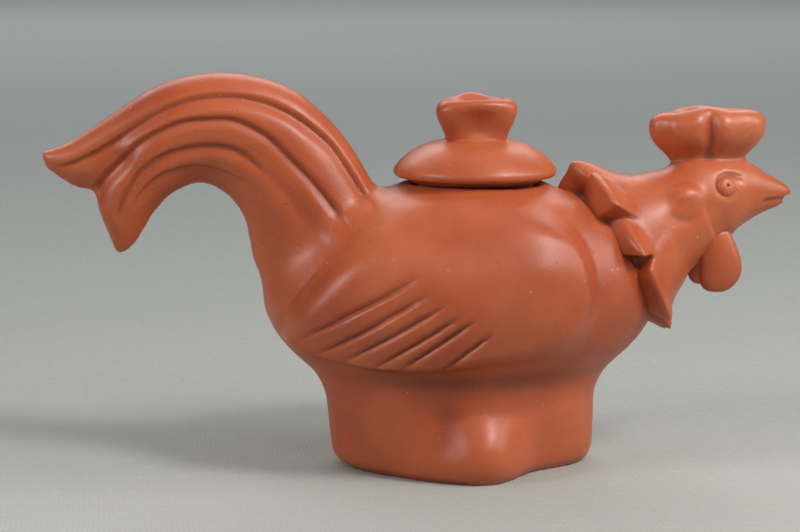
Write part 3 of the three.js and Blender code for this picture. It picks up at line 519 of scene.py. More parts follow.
class ShaderTree:
    """A material's node tree, with short ways to add the nodes that clay and cloth need."""

    def __init__(self, tree: bpy.types.NodeTree) -> None:
        """Take over a new material's tree."""
        self.tree = tree
        self.shader = tree.nodes["Principled BSDF"]
        self.place = tree.nodes.new("ShaderNodeTexCoord").outputs["Object"]

    def join(self, start: bpy.types.NodeSocket, end: bpy.types.NodeSocket) -> None:
        """Link two sockets."""
        self.tree.links.new(start, end)

    def noise(self, grain: Grain) -> bpy.types.NodeSocket:
        """A noise field of one size."""
        node = self.tree.nodes.new("ShaderNodeTexNoise")
        node.inputs["Scale"].default_value = grain.scale
        node.inputs["Detail"].default_value = grain.detail
        node.inputs["Roughness"].default_value = grain.roughness
        self.join(self.place, node.inputs["Vector"])
        return node.outputs["Fac"]

    def threads(self, direction: str) -> bpy.types.NodeSocket:
        """Parallel threads, about a millimetre apart and a little uneven."""
        node = self.tree.nodes.new("ShaderNodeTexWave")
        node.bands_direction = direction
        node.inputs["Scale"].default_value = THREAD_SCALE
        node.inputs["Distortion"].default_value = 2.6
        node.inputs["Detail Scale"].default_value = 0.6
        self.join(self.place, node.inputs["Vector"])
        return node.outputs["Fac"]

    def product(self, first: bpy.types.NodeSocket, second: bpy.types.NodeSocket) -> bpy.types.NodeSocket:
        """Two values multiplied."""
        node = self.tree.nodes.new("ShaderNodeMath")
        node.operation = "MULTIPLY"
        self.join(first, node.inputs[0])
        self.join(second, node.inputs[1])
        return node.outputs[0]

    def attribute(self, name: str) -> bpy.types.NodeSocket:
        """A number stored on the mesh."""
        node = self.tree.nodes.new("ShaderNodeAttribute")
        node.attribute_name = name
        return node.outputs["Fac"]

    def ramp(self, factor: bpy.types.NodeSocket, stops: Sequence[tuple[float, Row]]) -> bpy.types.NodeSocket:
        """Colours along a factor.

        Args:
            factor: What chooses the colour.
            stops: Places along the factor, each with its linear colour.

        Returns:
            The colour.
        """
        node = self.tree.nodes.new("ShaderNodeValToRGB")
        elements = node.color_ramp.elements
        while len(elements) < len(stops):
            elements.new(0.5)
        for element, (position, colour) in zip(elements, stops):
            element.position = position
            element.color = colour
        self.join(factor, node.inputs["Fac"])
        return node.outputs["Color"]

    def mix(
        self, factor: bpy.types.NodeSocket, first: bpy.types.NodeSocket, second: Row
    ) -> bpy.types.NodeSocket:
        """A colour mixed towards a fixed one."""
        node = self.tree.nodes.new("ShaderNodeMix")
        node.data_type = "RGBA"
        self.join(factor, node.inputs["Factor"])
        self.join(first, node.inputs["A"])
        node.inputs["B"].default_value = second
        return node.outputs["Result"]

    def spread(
        self, value: bpy.types.NodeSocket, low: float, high: float, to_low: float, to_high: float
    ) -> bpy.types.NodeSocket:
        """Map a value from one range to another, held at its ends.

        Args:
            value: The value.
            low: The value that becomes to_low.
            high: The value that becomes to_high.
            to_low: The result at and below low.
            to_high: The result at and above high.

        Returns:
            The mapped value.
        """
        node = self.tree.nodes.new("ShaderNodeMapRange")
        node.inputs["From Min"].default_value = low
        node.inputs["From Max"].default_value = high
        node.inputs["To Min"].default_value = to_low
        node.inputs["To Max"].default_value = to_high
        self.join(value, node.inputs["Value"])
        return node.outputs["Result"]

    def sum(self, *values: bpy.types.NodeSocket) -> bpy.types.NodeSocket:
        """The values added together."""
        total = values[0]
        for value in values[1:]:
            node = self.tree.nodes.new("ShaderNodeMath")
            self.join(total, node.inputs[0])
            self.join(value, node.inputs[1])
            total = node.outputs[0]
        return total

    def bump(
        self, height: bpy.types.NodeSocket, strength: float, distance: float,
        under: bpy.types.NodeSocket | None = None,
    ) -> bpy.types.NodeSocket:
        """Raise a bump from a height.

        Args:
            height: The height, from 0 to 1.
            strength: How much of the bump is used.
            distance: The full height in metres.
            under: Another bump that this one lies on.

        Returns:
            The bumped normal.
        """
        node = self.tree.nodes.new("ShaderNodeBump")
        node.inputs["Strength"].default_value = strength
        node.inputs["Distance"].default_value = distance
        self.join(height, node.inputs["Height"])
        if under is not None:
            self.join(under, node.inputs["Normal"])
        return node.outputs["Normal"]


CLAY = ClayFinish(
    slot="clay", body=(174, 82, 45), deep=(158, 68, 35), pale=(186, 98, 60), ember=(182, 78, 34),
    shade_and_dark_grain=(70, 28, 14), roughness=0.43,
)
POLISHED_CLAY = ClayFinish(
    slot="polished_clay", body=(178, 86, 49), deep=(162, 72, 38), pale=(190, 103, 65), ember=(186, 82, 38),
    shade_and_dark_grain=(76, 31, 16), roughness=0.41,
)


# Pot wall


@dataclass(frozen=True)
class Plan:
    """The pot's outline at one height, seen from above.

    Attributes:
        forward: How far ahead of the origin its centre lies.
        front: Its length ahead of the centre.
        rear: Its length behind the centre.
        side: Its half width.
        front_draw: How far its front diagonals draw in, as a share.
        rear_draw: How far its rear diagonals draw in, as a share.
    """

    forward: float
    front: float
    rear: float
    side: float
    front_draw: float
    rear_draw: float

    def columns(self) -> Row:
        """The sizes as one row of numbers."""
        return (self.forward, self.front, self.rear, self.side, self.front_draw, self.rear_draw)

    def toward(self, other: "Plan", share: float) -> "Plan":
        """The plan part of the way to another."""
        return Plan(*blend(self.columns(), other.columns(), share))

    def drawn_in(self, distance: float) -> "Plan":
        """The plan drawn in by one distance all round."""
        return Plan(self.forward, self.front - distance, self.rear - distance, self.side - distance,
                    self.front_draw, self.rear_draw)

    def radius(self, angle: float) -> float:
        """The outline's distance from its centre in one direction."""
        cos, sin = math.cos(angle), math.sin(angle)
        length, draw = (self.front, self.front_draw) if cos >= 0 else (self.rear, self.rear_draw)
        return (1 - draw * math.sin(2 * angle) ** 2) / math.hypot(cos / length, sin / self.side)

    def point(self, angle: float, height: float) -> Vector:
        """A point of the outline in one direction from its centre."""
        radius = self.radius(angle)
        return Vector((self.forward + radius * math.cos(angle), radius * math.sin(angle), height))

    def ring(self, height: float, sides: int) -> list[Vector]:
        """The outline as a ring of points."""
        return [self.point(2 * math.pi * k / sides, height) for k in range(sides)]


@dataclass(frozen=True)
class SoftForm:
    """A thumb-worked swelling or dip on the pot's skin, the same on both sides.

    Attributes:
        centre: Its middle on the bird's right side.
        reach: How far it spreads along X, Y and Z.
        rise: Its height, below zero for a dip.
    """

    centre: Row
    reach: Row
    rise: float

    def at(self, point: Vector) -> float:
        """The form's height at a point of either side."""
        offsets = (point.x - self.centre[0], abs(point.y) + self.centre[1], point.z - self.centre[2])
        far = sum((offset / reach) ** 2 for offset, reach in zip(offsets, self.reach))
        return self.rise * math.exp(-far)


@dataclass(frozen=True)
class PotWall:
    """The foot, belly and shoulder as one curved wall round a hollow.

    Attributes:
        ground: The foot's outline where it stands.
        foot: The outline of its swelling toe.
        waist: The outline where the foot turns into the belly.
        belly: The widest outline.
        mouth: The mouth's outline.
        throat: The opening inside the mouth.
        foot_edge: How high the foot's rounded edge reaches.
        foot_floor: The height of the hollow's floor.
        waist_height: The waist's height.
        belly_height: The height of the widest outline.
        shoulder_height: The shoulder's top, where the rim begins.
        rim: How far the mouth's rim stands up.
        wall: The wall's thickness.
        flare_shares: How the foot flares into the belly: shares of the height and of the spread.
        shoulder_shares: How the belly closes to the mouth: shares of the height and of the spread.
        soft_forms: The thumb-worked swellings and dips.
    """

    ground: Plan = Plan(0, 27.3, 25.4, 25, 0.25, 0.12)
    foot: Plan = Plan(0, 30.4, 30.8, 27.4, 0.24, 0.1)
    waist: Plan = Plan(0, 30.6, 32, 24, 0.14, 0.05)
    belly: Plan = Plan(0, 45.3, 46.5, 30.5, 0, 0)
    mouth: Plan = Plan(2.5, 17.4, 17.4, 17.4, 0, 0)
    throat: Plan = Plan(2.5, 14, 14, 14, 0, 0)
    foot_edge: float = 4.4
    foot_floor: float = 4.0
    waist_height: float = 16.0
    belly_height: float = 40.0
    shoulder_height: float = 64.0
    rim: float = 1.4
    wall: float = 3.0
    flare_shares: tuple[Row, ...] = (
        (0, 0), (0.1, 0.05), (0.26, 0.2), (0.41, 0.47), (0.56, 0.7), (0.7, 0.85), (0.85, 0.96), (1, 1),
    )
    shoulder_shares: tuple[Row, ...] = (
        (0.13, 0.985), (0.3, 0.92), (0.43, 0.83), (0.56, 0.73), (0.69, 0.615), (0.8, 0.48), (0.88, 0.35),
        (0.95, 0.2), (1, 0),
    )
    soft_forms: tuple[SoftForm, ...] = (
        SoftForm((1.4, -25.6, 7.4), (6.0, 6.5, 5.8), 2.1),
        SoftForm((-16, -20, 16.5), (8, 8, 7), 1.3),
        SoftForm((-7.8, -23.3, 11), (4.5, 6, 9), -1.1),
        SoftForm((20, -14, 13), (7, 8, 7), 0.9),
        SoftForm((31, -17, 50), (5, 7, 10), 1.2),
        SoftForm((13, -27, 47), (10, 12, 11), 1.9),
        SoftForm((-2, -28, 22.5), (36, 14, 3.8), -1.5),
    )

    def rows(self) -> list[Row]:
        """The wall's rows from the ground to the shoulder: height, then the plan's sizes."""
        chosen = []
        for turn in (0, 30, 60, 90):
            share = math.sin(math.radians(turn))
            height = self.foot_edge * (1 - math.cos(math.radians(turn)))
            chosen.append((height, self.ground.toward(self.foot, share)))
        for share in (0.35, 0.7):
            height = self.foot_edge + (self.waist_height - self.foot_edge) * share
            chosen.append((height, self.foot.toward(self.waist, share)))
        for up, out in self.flare_shares:
            height = self.waist_height + (self.belly_height - self.waist_height) * up
            chosen.append((height, self.waist.toward(self.belly, out)))
        for up, out in self.shoulder_shares:
            height = self.belly_height + (self.shoulder_height - self.belly_height) * up
            chosen.append((height, self.mouth.toward(self.belly, out)))
        return smooth_rows([(height, *plan.columns()) for height, plan in chosen], 4)

    def outside(self, place: Vector, rows: Sequence[Row]) -> float:
        """Measure how far a point stands out from the wall, on the level.

        Args:
            place: The point.
            rows: The wall's rows, worked out once for many points.

        Returns:
            The distance, below zero inside the wall's outer skin.
        """
        i = min(bisect.bisect([row[0] for row in rows], place.z), len(rows) - 1)
        plan = Plan(*rows[i][1:])
        ahead = place.x - plan.forward
        return math.hypot(ahead, place.y) - plan.radius(math.atan2(place.y, ahead))

    def form(self, point: Vector) -> float:
        """How far the thumb-worked forms stand out at a point."""
        return sum(form.at(point) for form in self.soft_forms)

    def outer_rings(self, sides: int) -> list[list[Vector]]:
        """The outer skin's rings from the ground to the shoulder, with the soft forms."""
        rings = [Plan(*plan).ring(height, sides) for height, *plan in self.rows()]
        shaped = offset_rings(rings, self.form)
        shaped[0] = [Vector((point.x, point.y, 0.0)) for point in shaped[0]]
        return shaped

    def lining_rings(self, sides: int) -> list[list[Vector]]:
        """Draw the hollow in from the outer skin.

        Args:
            sides: How many points each ring has.

        Returns:
            The rings from the hollow's floor to below the shoulder.
        """
        rows = self.rows()
        rings = [Plan(*plan).ring(height, sides) for height, *plan in rows if height >= self.waist_height]
        lining = offset_rings(rings, lambda _: -self.wall)[::3]
        floor = [
            self.foot.toward(self.waist, share).drawn_in(self.wall).ring(
                self.foot_floor + (self.waist_height - self.foot_floor) * share, sides)
            for share in (0.0, 0.15, 0.6)
        ]
        return [*floor, *lining]

    def filled(self, sides: int) -> "Model":
        """The wall's solid form, drawn in to the middle of its thickness, to trim what joins it."""
        model = Model()
        rings = [Plan(*plan).ring(height, sides) for height, *plan in self.rows()]
        model.loft(offset_rings(rings, lambda _: -self.wall / 2))
        return model

    def rings(self, sides: int) -> list[list[Vector]]:
        """Run rings over the whole wall.

        Args:
            sides: How many points each ring has.

        Returns:
            All rings from the base's outside, over the rim, to the hollow's floor.
        """
        outer = self.outer_rings(sides)
        lining = self.lining_rings(sides)
        top = self.shoulder_height + self.rim
        edge = self.rim * 0.35
        rim = [
            self.mouth.ring(top - edge, sides),
            self.mouth.drawn_in(edge * 0.3).ring(top - edge * 0.3, sides),
            self.mouth.drawn_in(edge).ring(top, sides),
            self.throat.drawn_in(-edge).ring(top, sides),
            self.throat.ring(top - edge, sides),
            self.throat.ring(lining[-1][0].z, sides),
        ]
        return [*outer, *rim, *reversed(lining)]


def offset_rings(rings: list[list[Vector]], distance: Callable[[Vector], float]) -> list[list[Vector]]:
    """Move rings along the surface's normals.

    Args:
        rings: Rings of points, in order up the surface.
        distance: How far each point moves out.

    Returns:
        The moved rings.
    """
    moved = []
    for i, ring in enumerate(rings):
        above, below = rings[min(i + 1, len(rings) - 1)], rings[max(i - 1, 0)]
        shifted = []
        for k, point in enumerate(ring):
            around = ring[(k + 1) % len(ring)] - ring[k - 1]
            outward = around.cross(above[k] - below[k]).normalized()
            shifted.append(point + outward * distance(point))
        moved.append(shifted)
    return moved


@dataclass
class Wings:
    """The two wings, raised from the belly's sides and cut with six slanting grooves.

    Attributes:
        thickness: How far a wing stands out at its rear.
        shoulder: How much further it stands out at its front.
        outline: Its edge along and up the pot, from the rear tip forwards, each point with the
            width over which the edge rises.
        cuts: The grooves' ends: rear place and height, front place and height.
        cut_depth: How deep the grooves are.
        ridge: The rolled upper edge, from the rear tip forwards.
        ridge_rise: How far that edge stands up.
    """

    thickness: float = 2.5
    shoulder: float = 1.3
    outline: tuple[Row, ...] = (
        (-41.5, 32.5, 4), (-39.2, 29.9, 3), (-31.4, 28.1, 2.8), (-23.2, 26.9, 2.8), (-15.1, 26.7, 3),
        (-7.8, 27.1, 3.4), (-0.5, 28.3, 4.6), (10.6, 29.3, 7), (18.5, 31.6, 9), (23.0, 36.0, 9),
        (24.6, 42.0, 7.5), (23.6, 49.6, 6.5), (20.0, 55.5, 7), (12.0, 60.0, 10), (0.0, 62.5, 15),
        (-12.0, 60.0, 18), (-22.0, 55.5, 12), (-29.0, 50.0, 8), (-34.0, 44.5, 7), (-39.5, 37.5, 5.5),
    )
    cuts: tuple[Row, ...] = (
        (-37.3, 33.8, -11.6, 48.1), (-34.5, 30.1, -9.5, 45.0), (-29.0, 29.0, -6.0, 43.0),
        (-22.6, 28.0, -3.6, 40.3), (-17.2, 27.7, -0.3, 39.8), (-9.8, 26.5, 2.6, 36.6),
    )
    cut_depth: float = 0.95
    ridge: tuple[Row, ...] = (
        (-43.0, 33.5), (-39.0, 38.0), (-33.5, 44.0), (-27.0, 50.0), (-20.0, 54.5), (-12.0, 57.5),
    )
    ridge_rise: float = 0.9

    def __post_init__(self) -> None:
        """Index the edge and the grooves."""
        self.edge = SideLine(self.outline, closed=True)
        self.upper_edge = Groove(
            SideLine(self.ridge), -self.ridge_rise, left=2.8, right=3.4, start=0.0, end=5.0, fade=1.4)
        lines = [SideLine((cut[:2], cut[2:]), per_span=160) for cut in self.cuts]
        self.grooves = [
            Groove(line, self.cut_depth, left=0.8, right=0.36, start=-0.12, end=1.0, fade=0.34)
            for line in lines
        ]

    def rise(self, place: Vector) -> float:
        """How far the wing's face stands over the belly at a point of either side."""
        if abs(place.y) < 4 or not (-47 < place.x < 30 and 22 < place.z < 66):
            return 0.0
        across, _, (_, _, width) = self.edge.near(place.x, place.z)
        pad = smooth_step(across / width + 0.4)
        if pad == 0:
            return 0.0
        height = self.thickness + self.shoulder * smooth_step((place.x + 12) / 30)
        return (height - self.cut(place)) * pad - self.upper_edge.at(place.x, place.z)

    def cut(self, place: Vector) -> float:
        """How deep the grooves are at a point of either side."""
        return max(groove.at(place.x, place.z) for groove in self.grooves)


@dataclass
class Tail:
    """The swept tail: one thick arch of clay that forks into two tips, grooved into five locks.

    Attributes:
        root: The belly's rear and widest level, which the shares are measured from.
        size: The reach back and the rise up that the shares are of.
        half_width: The arch's half width.
        fullness: How full the arch's rounded section is, 1 for an ellipse and less for a fuller one.
        crown_shares: The arch's upper edge, from the root to the high tip.
        fork_high_shares: The high feather's lower edge.
        fork_low_shares: The low feather's upper edge.
        under_shares: The arch's lower edge, from the root to the low tip.
        arch_widths: The half width at each station of the arch, as a share.
        high_widths: The same for the high feather.
        low_widths: The same for the low feather.
        cuts: The four grooves between the locks, each from the root to its tip.
        cut_reaches: Each groove's depth, where it begins and ends in its own points, and its fade.
    """

    root: Row = (-46.5, 40.0)
    size: Row = (50.5, 51.0)
    half_width: float = 9.3
    fullness: float = 0.75
    crown_shares: tuple[Row, ...] = (
        (-0.68, 0.16), (-0.51, 0.49), (-0.35, 0.74), (-0.13, 0.93), (0.17, 1), (0.45, 0.95), (0.68, 0.812),
        (0.86, 0.7), (0.985, 0.66),
    )
    fork_high_shares: tuple[Row, ...] = (
        (-0.52, -0.04), (-0.33, 0.31), (-0.18, 0.58), (0, 0.75), (0.2, 0.79), (0.39, 0.75), (0.59, 0.6),
        (0.78, 0.475), (0.97, 0.575),
    )
    fork_low_shares: tuple[Row, ...] = (
        (-0.52, -0.04), (-0.33, 0.31), (-0.18, 0.58), (0, 0.75), (0.2, 0.84), (0.39, 0.82), (0.59, 0.69),
        (0.742, 0.49), (0.657, 0.2),
    )
    under_shares: tuple[Row, ...] = (
        (-0.17, -0.24), (0.03, 0.07), (0.05, 0.2), (0.1, 0.385), (0.255, 0.5), (0.39, 0.46), (0.475, 0.385),
        (0.565, 0.24), (0.62, 0.2),
    )
    arch_widths: tuple[Row, ...] = ((1.5,), (1.32,), (1.13,), (1.02,), (1,), (0.93,), (0.78,))
    high_widths: tuple[Row, ...] = (
        (1.1,), (1.0,), (0.86,), (0.77,), (0.75,), (0.72,), (0.66,), (0.5,), (0.2,),
    )
    low_widths: tuple[Row, ...] = (
        (1.3,), (1.2,), (1.05,), (0.96,), (0.93,), (0.88,), (0.78,), (0.56,), (0.2,),
    )
    cuts: tuple[tuple[Row, ...], ...] = (
        ((-17.5, 50.0), (-19.8, 56.0), (-22.5, 61.9), (-24.7, 65.2), (-28.0, 70.4), (-32.1, 75.9),
         (-40.5, 82.2), (-48.7, 85.4), (-57.0, 86.1), (-65.3, 84.6), (-73.6, 80.4), (-81.9, 74.6),
         (-90.2, 70.6), (-94.0, 70.0)),
        ((-24.0, 50.0), (-28.2, 57.2), (-32.4, 63.1), (-36.6, 68.2), (-40.7, 72.4), (-45.6, 77.2),
         (-52.2, 80.6), (-57.2, 81.1), (-65.4, 80.2), (-73.7, 76.2), (-77.8, 72.1), (-82.0, 68.0),
         (-84.5, 64.3)),
        ((-31.0, 47.0), (-33.3, 53.0), (-40.7, 63.2), (-45.7, 68.3), (-50.7, 73.0), (-55.6, 74.8),
         (-61.4, 74.8), (-68.0, 73.2), (-73.8, 69.5), (-76.3, 66.2), (-78.8, 61.3), (-79.5, 57.0)),
        ((-46.0, 62.0), (-49.8, 65.6), (-52.3, 67.0), (-55.6, 68.6), (-60.5, 69.9), (-64.7, 69.6),
         (-69.6, 67.9), (-73.8, 64.0), (-76.0, 59.5)),
    )
    cut_reaches: tuple[Row, ...] = (
        (1.15, 1.5, 13.0, 1.4), (1.1, 0.6, 13.5, 1.2), (0.95, 2.6, 11.2, 1.2), (0.8, 0.6, 8.2, 1.6),
    )

    def __post_init__(self) -> None:
        """Index the four grooves, and a faint fifth one where the third starts at the root."""
        lines = [SideLine(rows, per_span=24) for rows in self.cuts]
        self.grooves = [
            Groove(line, depth, left=1.9, right=0.6, start=start, end=end, fade=fade)
            for line, (depth, start, end, fade) in zip(lines, self.cut_reaches)
        ]
        faint = Groove(lines[2], 0.3, left=1.6, right=1.2, start=0.4, end=4.2, fade=1.2)
        self.grooves.append(faint)

    def point(self, shares: Row) -> Vector:
        """A point of the tail's outline in the pot's middle plane."""
        back, up = self.size[0] * shares[0], self.size[1] * shares[1]
        return Vector((self.root[0] - back, 0.0, self.root[1] + up))

    def sweep(
        self, model: Model, outer: Sequence[Row], inner: Sequence[Row], widths: Sequence[Row]
    ) -> None:
        """Add rounded sections swept between two edges.

        Args:
            model: The mesh that they join.
            outer: The shares of the outer edge.
            inner: The shares of the inner edge.
            widths: The half width at each station, as a share of the arch's.
        """
        rings = []
        sides = 48
        edges = zip(smooth_rows(outer, 8), smooth_rows(inner, 8), smooth_rows(widths, 8))
        for high_shares, low_shares, (share,) in edges:
            high, low = self.point(high_shares), self.point(low_shares)
            centre, half = (high + low) / 2, (high - low) / 2
            side = Vector((0, self.half_width * share, 0))
            ring = []
            for k in range(sides):
                turn = math.tau * k / sides
                down = (1 - math.cos(turn)) / 2
                wide = max(math.sin(math.pi * down**self.fullness), 0.0) ** self.fullness
                ring.append(centre + half * math.cos(turn) + side * math.copysign(wide, math.sin(turn)))
            rings.append(ring)
        model.loft(rings)

    def add_to(self, model: Model) -> None:
        """Sweep the arch, and the upper and lower feathers that it forks into."""
        self.sweep(model, self.crown_shares[:7], self.under_shares[:7], self.arch_widths)
        self.sweep(model, self.crown_shares, self.fork_high_shares, self.high_widths)
        self.sweep(model, self.fork_low_shares, self.under_shares, self.low_widths)

    def cut(self, place: Vector, normal: Vector) -> float:
        """Work out how deep the grooves are at a point, on faces that look sideways.

        Args:
            place: The point.
            normal: The direction that its face looks in.

        Returns:
            The depth.
        """
        if place.x > -14 or place.z < 46:
            return 0.0
        aside = smooth_step((abs(normal.y) - 0.12) / 0.4) * smooth_step((abs(place.y) - 0.8) / 1.6)
        return aside * max(groove.at(place.x, place.z) for groove in self.grooves)


@dataclass
class PotBody:
    """The fired body in one: foot, belly, wings and rim, with the tail luted on behind.

    Attributes:
        neck: The neck's spine, which the strainer is drilled along.
        wall: The foot, belly and shoulder.
        wings: The wings.
        tail: The tail.
        hole: A strainer hole's width.
        hole_ring: The radius of the ring of holes.
        holes_around: How many holes the ring has.
        drill: How deep a hole is drilled.
        fork: Where the tail forks, along and up.
        voxel: The face size of the fused skin.
        most_triangles: How many triangles the finished skin may have.
    """

    neck: "Spine"
    wall: PotWall = field(default_factory=PotWall)
    wings: Wings = field(default_factory=Wings)
    tail: Tail = field(default_factory=Tail)
    hole: float = 3.0
    hole_ring: float = 5.2
    holes_around: int = 6
    drill: float = 36.0
    fork: Row = (-72.0, 72.0)
    voxel: float = 0.8
    most_triangles: int = 186000

    def build(self) -> bpy.types.Object:
        """Fuse the wall and the tail, raise the wings, cut the grooves and dress the body."""
        model = Model()
        model.loft(self.wall.rings(FINE_SIDES))
        self.tail.add_to(model)
        model.fuse(self.voxel)
        self.smooth_joints(model)
        model.refine(self.worked)
        model.refine(self.grooved)
        model.soften(4)
        model.press(lambda place, _: self.wings.rise(place))
        model.soften(1)
        model.press(lambda place, normal: -self.tail.cut(place, normal))
        model.soften(2)
        self.trim(model)
        model.mark_relief(passes=22, full=0.3)
        model.thin(self.most_triangles)
        model.carve(self.strainer())
        nodes = ["foot", "body_shell", "mouth_rim", "tail_handle", "wing_right", "wing_left"]
        return model.finished("pot_body", Body.POT, CLAY, nodes)

    def smooth_joints(self, model: Model) -> None:
        """Rub the luted joints smooth: the tail's root, its fork, the rim, and then all of it a little."""
        rows = self.wall.rows()
        model.soften(110, lambda place: self.at_tail_root(place, rows))
        for reach in (16, 12, 8):
            model.soften(9, lambda place: self.at_fork(place, reach))
        model.soften(14, self.under_rim)
        model.soften(3)

    def at_tail_root(self, place: Vector, rows: Sequence[Row]) -> bool:
        """Whether a point lies where the tail grows out of the wall, by the wall's rows."""
        return place.x < -14 and place.z > 38 and -3 < self.wall.outside(place, rows) < 6

    def at_fork(self, place: Vector, reach: float) -> bool:
        """Whether a point lies on the tail's flanks within reach of its fork."""
        far = math.hypot(place.x - self.fork[0], place.z - self.fork[1])
        return far < reach and abs(place.y) > 1.5

    def trim(self, model: Model) -> None:
        """Scrape the base flat and the throat round, so that the lid's flange slides in it.

        Args:
            model: The fused body.
        """
        throat = self.wall.throat
        base_skin, looks_down, below_throat = 0.5, -0.8, 3.0
        throat_foot = self.wall.shoulder_height - self.wall.wall - below_throat
        for vert in model.mesh.verts:
            ahead, aside, height = vert.co.x - throat.forward, vert.co.y, vert.co.z
            if height < base_skin and vert.normal.z < looks_down:
                vert.co.z = 0.0
            narrow = math.hypot(ahead, aside) / throat.side
            if height > throat_foot and narrow < 1:
                vert.co.x, vert.co.y = throat.forward + ahead / narrow, aside / narrow

    def strainer(self) -> Model:
        """The drills of the strainer's holes along the neck's root: one in the middle, a ring round it."""
        model = Model()
        start = self.neck.point(*self.neck.neck_shares[0][:2])
        place = Matrix.Translation(start) @ leaning(self.neck.facing)
        turns = [math.tau * k / self.holes_around for k in range(self.holes_around)]
        centres = [(0.0, 0.0), *((self.hole_ring * math.cos(a), self.hole_ring * math.sin(a)) for a in turns)]
        for across, up in centres:
            bmesh.ops.create_cone(
                model.mesh, cap_ends=True, segments=28, radius1=self.hole / 2, radius2=self.hole / 2,
                depth=self.drill, matrix=place @ Matrix.Translation((across, up, self.drill / 2)),
            )
        return model

    def grooved(self, place: Vector) -> bool:
        """Whether a point lies on a groove of the wings or the tail, where the form is finest."""
        if place.x < -14 and place.z > 46 and abs(place.y) < 17:
            return max(groove.at(place.x, place.z) for groove in self.tail.grooves) > 0.2
        return abs(place.y) > 18 and place.x < 6 and 24 < place.z < 50 and self.wings.cut(place) > 0.2

    @staticmethod
    def under_rim(place: Vector) -> bool:
        """Whether a point lies where the shoulder turns up into the mouth's rim."""
        return place.z > 61.5 and math.hypot(place.x - 2.5, place.y) > 16.2

    @staticmethod
    def worked(place: Vector) -> bool:
        """Whether a point lies where fine forms are cut: on the wings and the tail."""
        beside = abs(place.y) > 8 and -44 < place.x < 27 and 24 < place.z < 60
        outer = math.hypot(place.x / 42, place.y / 27) > 0.94
        on_tail = place.z > 50 and place.x < min(-20, -14 - 0.4 * (66 - place.z))
        return (beside and outer) or on_tail


# Neck, head and what sits on them


@dataclass(frozen=True)
class Spine:
    """The neck's and head's sections along a curved spine.

    Attributes:
        front: The belly's front, which the reach is measured from.
        level: The height that the rise is measured from.
        reach: The head's reach.
        rise: The neck's rise.
        neck_radius: The neck's radius where it meets the head.
        head_depth: The head's half height.
        head_half_width: The head's half width.
        neck_pitch: The angle at which the neck leaves the belly, in degrees.
        neck_shares: The neck's sections: reach and rise shares, pitch and share of the radius.
        head_shares: The head's and beak's sections: reach and rise shares, pitch, and shares of the
            depth and the width.
    """

    front: float = 45.3
    level: float = 40.0
    reach: float = 31.7
    rise: float = 21.7
    neck_radius: float = 12.0
    head_depth: float = 11.0
    head_half_width: float = 9.5
    neck_pitch: float = 27.0
    neck_shares: tuple[Row, ...] = (
        (-0.58, 0.21, 27, 1.54), (-0.39, 0.345, 27, 1.42), (-0.226, 0.45, 27, 1.19),
        (-0.065, 0.576, 28, 1.04), (0.08, 0.705, 33, 1),
    )
    head_shares: tuple[Row, ...] = (
        (0.21, 0.83, 38, 0.96, 1.08), (0.33, 0.95, 30, 0.98, 1), (0.452, 0.99, 18, 0.91, 0.93),
        (0.568, 1.018, 8, 0.76, 0.8), (0.684, 1.025, 0, 0.62, 0.6), (0.787, 1.005, -5, 0.44, 0.44),
        (0.884, 0.994, -8, 0.31, 0.31), (0.955, 0.985, -8, 0.21, 0.2), (1.005, 0.975, -8, 0.09, 0.08),
    )

    @property
    def facing(self) -> Vector:
        """The direction in which the neck leaves the belly."""
        pitch = math.radians(self.neck_pitch)
        return Vector((math.cos(pitch), 0.0, math.sin(pitch)))

    def point(self, reach: float, rise: float) -> Vector:
        """A point of the spine from shares of its reach and rise."""
        return Vector((self.front + self.reach * reach, 0.0, self.level + self.rise * rise))

    def sections(self) -> list[Row]:
        """The sections as rows: place along, height, pitch, depth and half width."""
        rows = []
        for reach, rise, pitch, radius in self.neck_shares:
            place = self.point(reach, rise)
            rows.append((place.x, place.z, pitch, self.neck_radius * radius, self.neck_radius * radius))
        for reach, rise, pitch, depth, width in self.head_shares:
            place = self.point(reach, rise)
            rows.append((place.x, place.z, pitch, self.head_depth * depth, self.head_half_width * width))
        return rows

    def section_point(self, row: Row, angle: float) -> Vector:
        """A point round one section, by its angle from the top towards the left."""
        x, z, pitch, depth, half_width = row
        turn = math.radians(pitch)
        up = Vector((-math.sin(turn), 0.0, math.cos(turn)))
        return Vector((x, half_width * math.sin(angle), z)) + up * depth * math.cos(angle)

    def point_between(self, station: float, angle: float) -> Vector:
        """A point of the skin between two sections, by its angle from the top towards the left."""
        rows = self.sections()
        low = min(int(station), len(rows) - 2)
        return self.section_point(blend(rows[low], rows[low + 1], station - low), angle)

    def skin(self, station: float, angle: float) -> tuple[Vector, Vector]:
        """A point of the head's skin and its outward direction.

        Args:
            station: How far along the sections, counted from the first neck section.
            angle: The angle from the top towards the left.

        Returns:
            The point and the direction.
        """
        point = self.point_between
        along = point(station + 0.1, angle) - point(station - 0.1, angle)
        around = point(station, angle + 0.02) - point(station, angle - 0.02)
        place = point(station, angle)
        outward = along.cross(around).normalized()
        if outward.y * place.y < 0:
            outward = -outward
        return place, outward


@dataclass(frozen=True)
class Feather:
    """One tooth of the ruff.

    Attributes:
        start: Its upper edge, as a share of the half turn from the top.
        end: Its lower edge.
        lean: How far the upper edge leans round the neck.
        rises: How its ridge rises from the upper edge to the lower one.
        high: Its section where it stands highest.
    """

    start: float
    end: float
    lean: float
    rises: Sequence[Row]
    high: Sequence[Row]


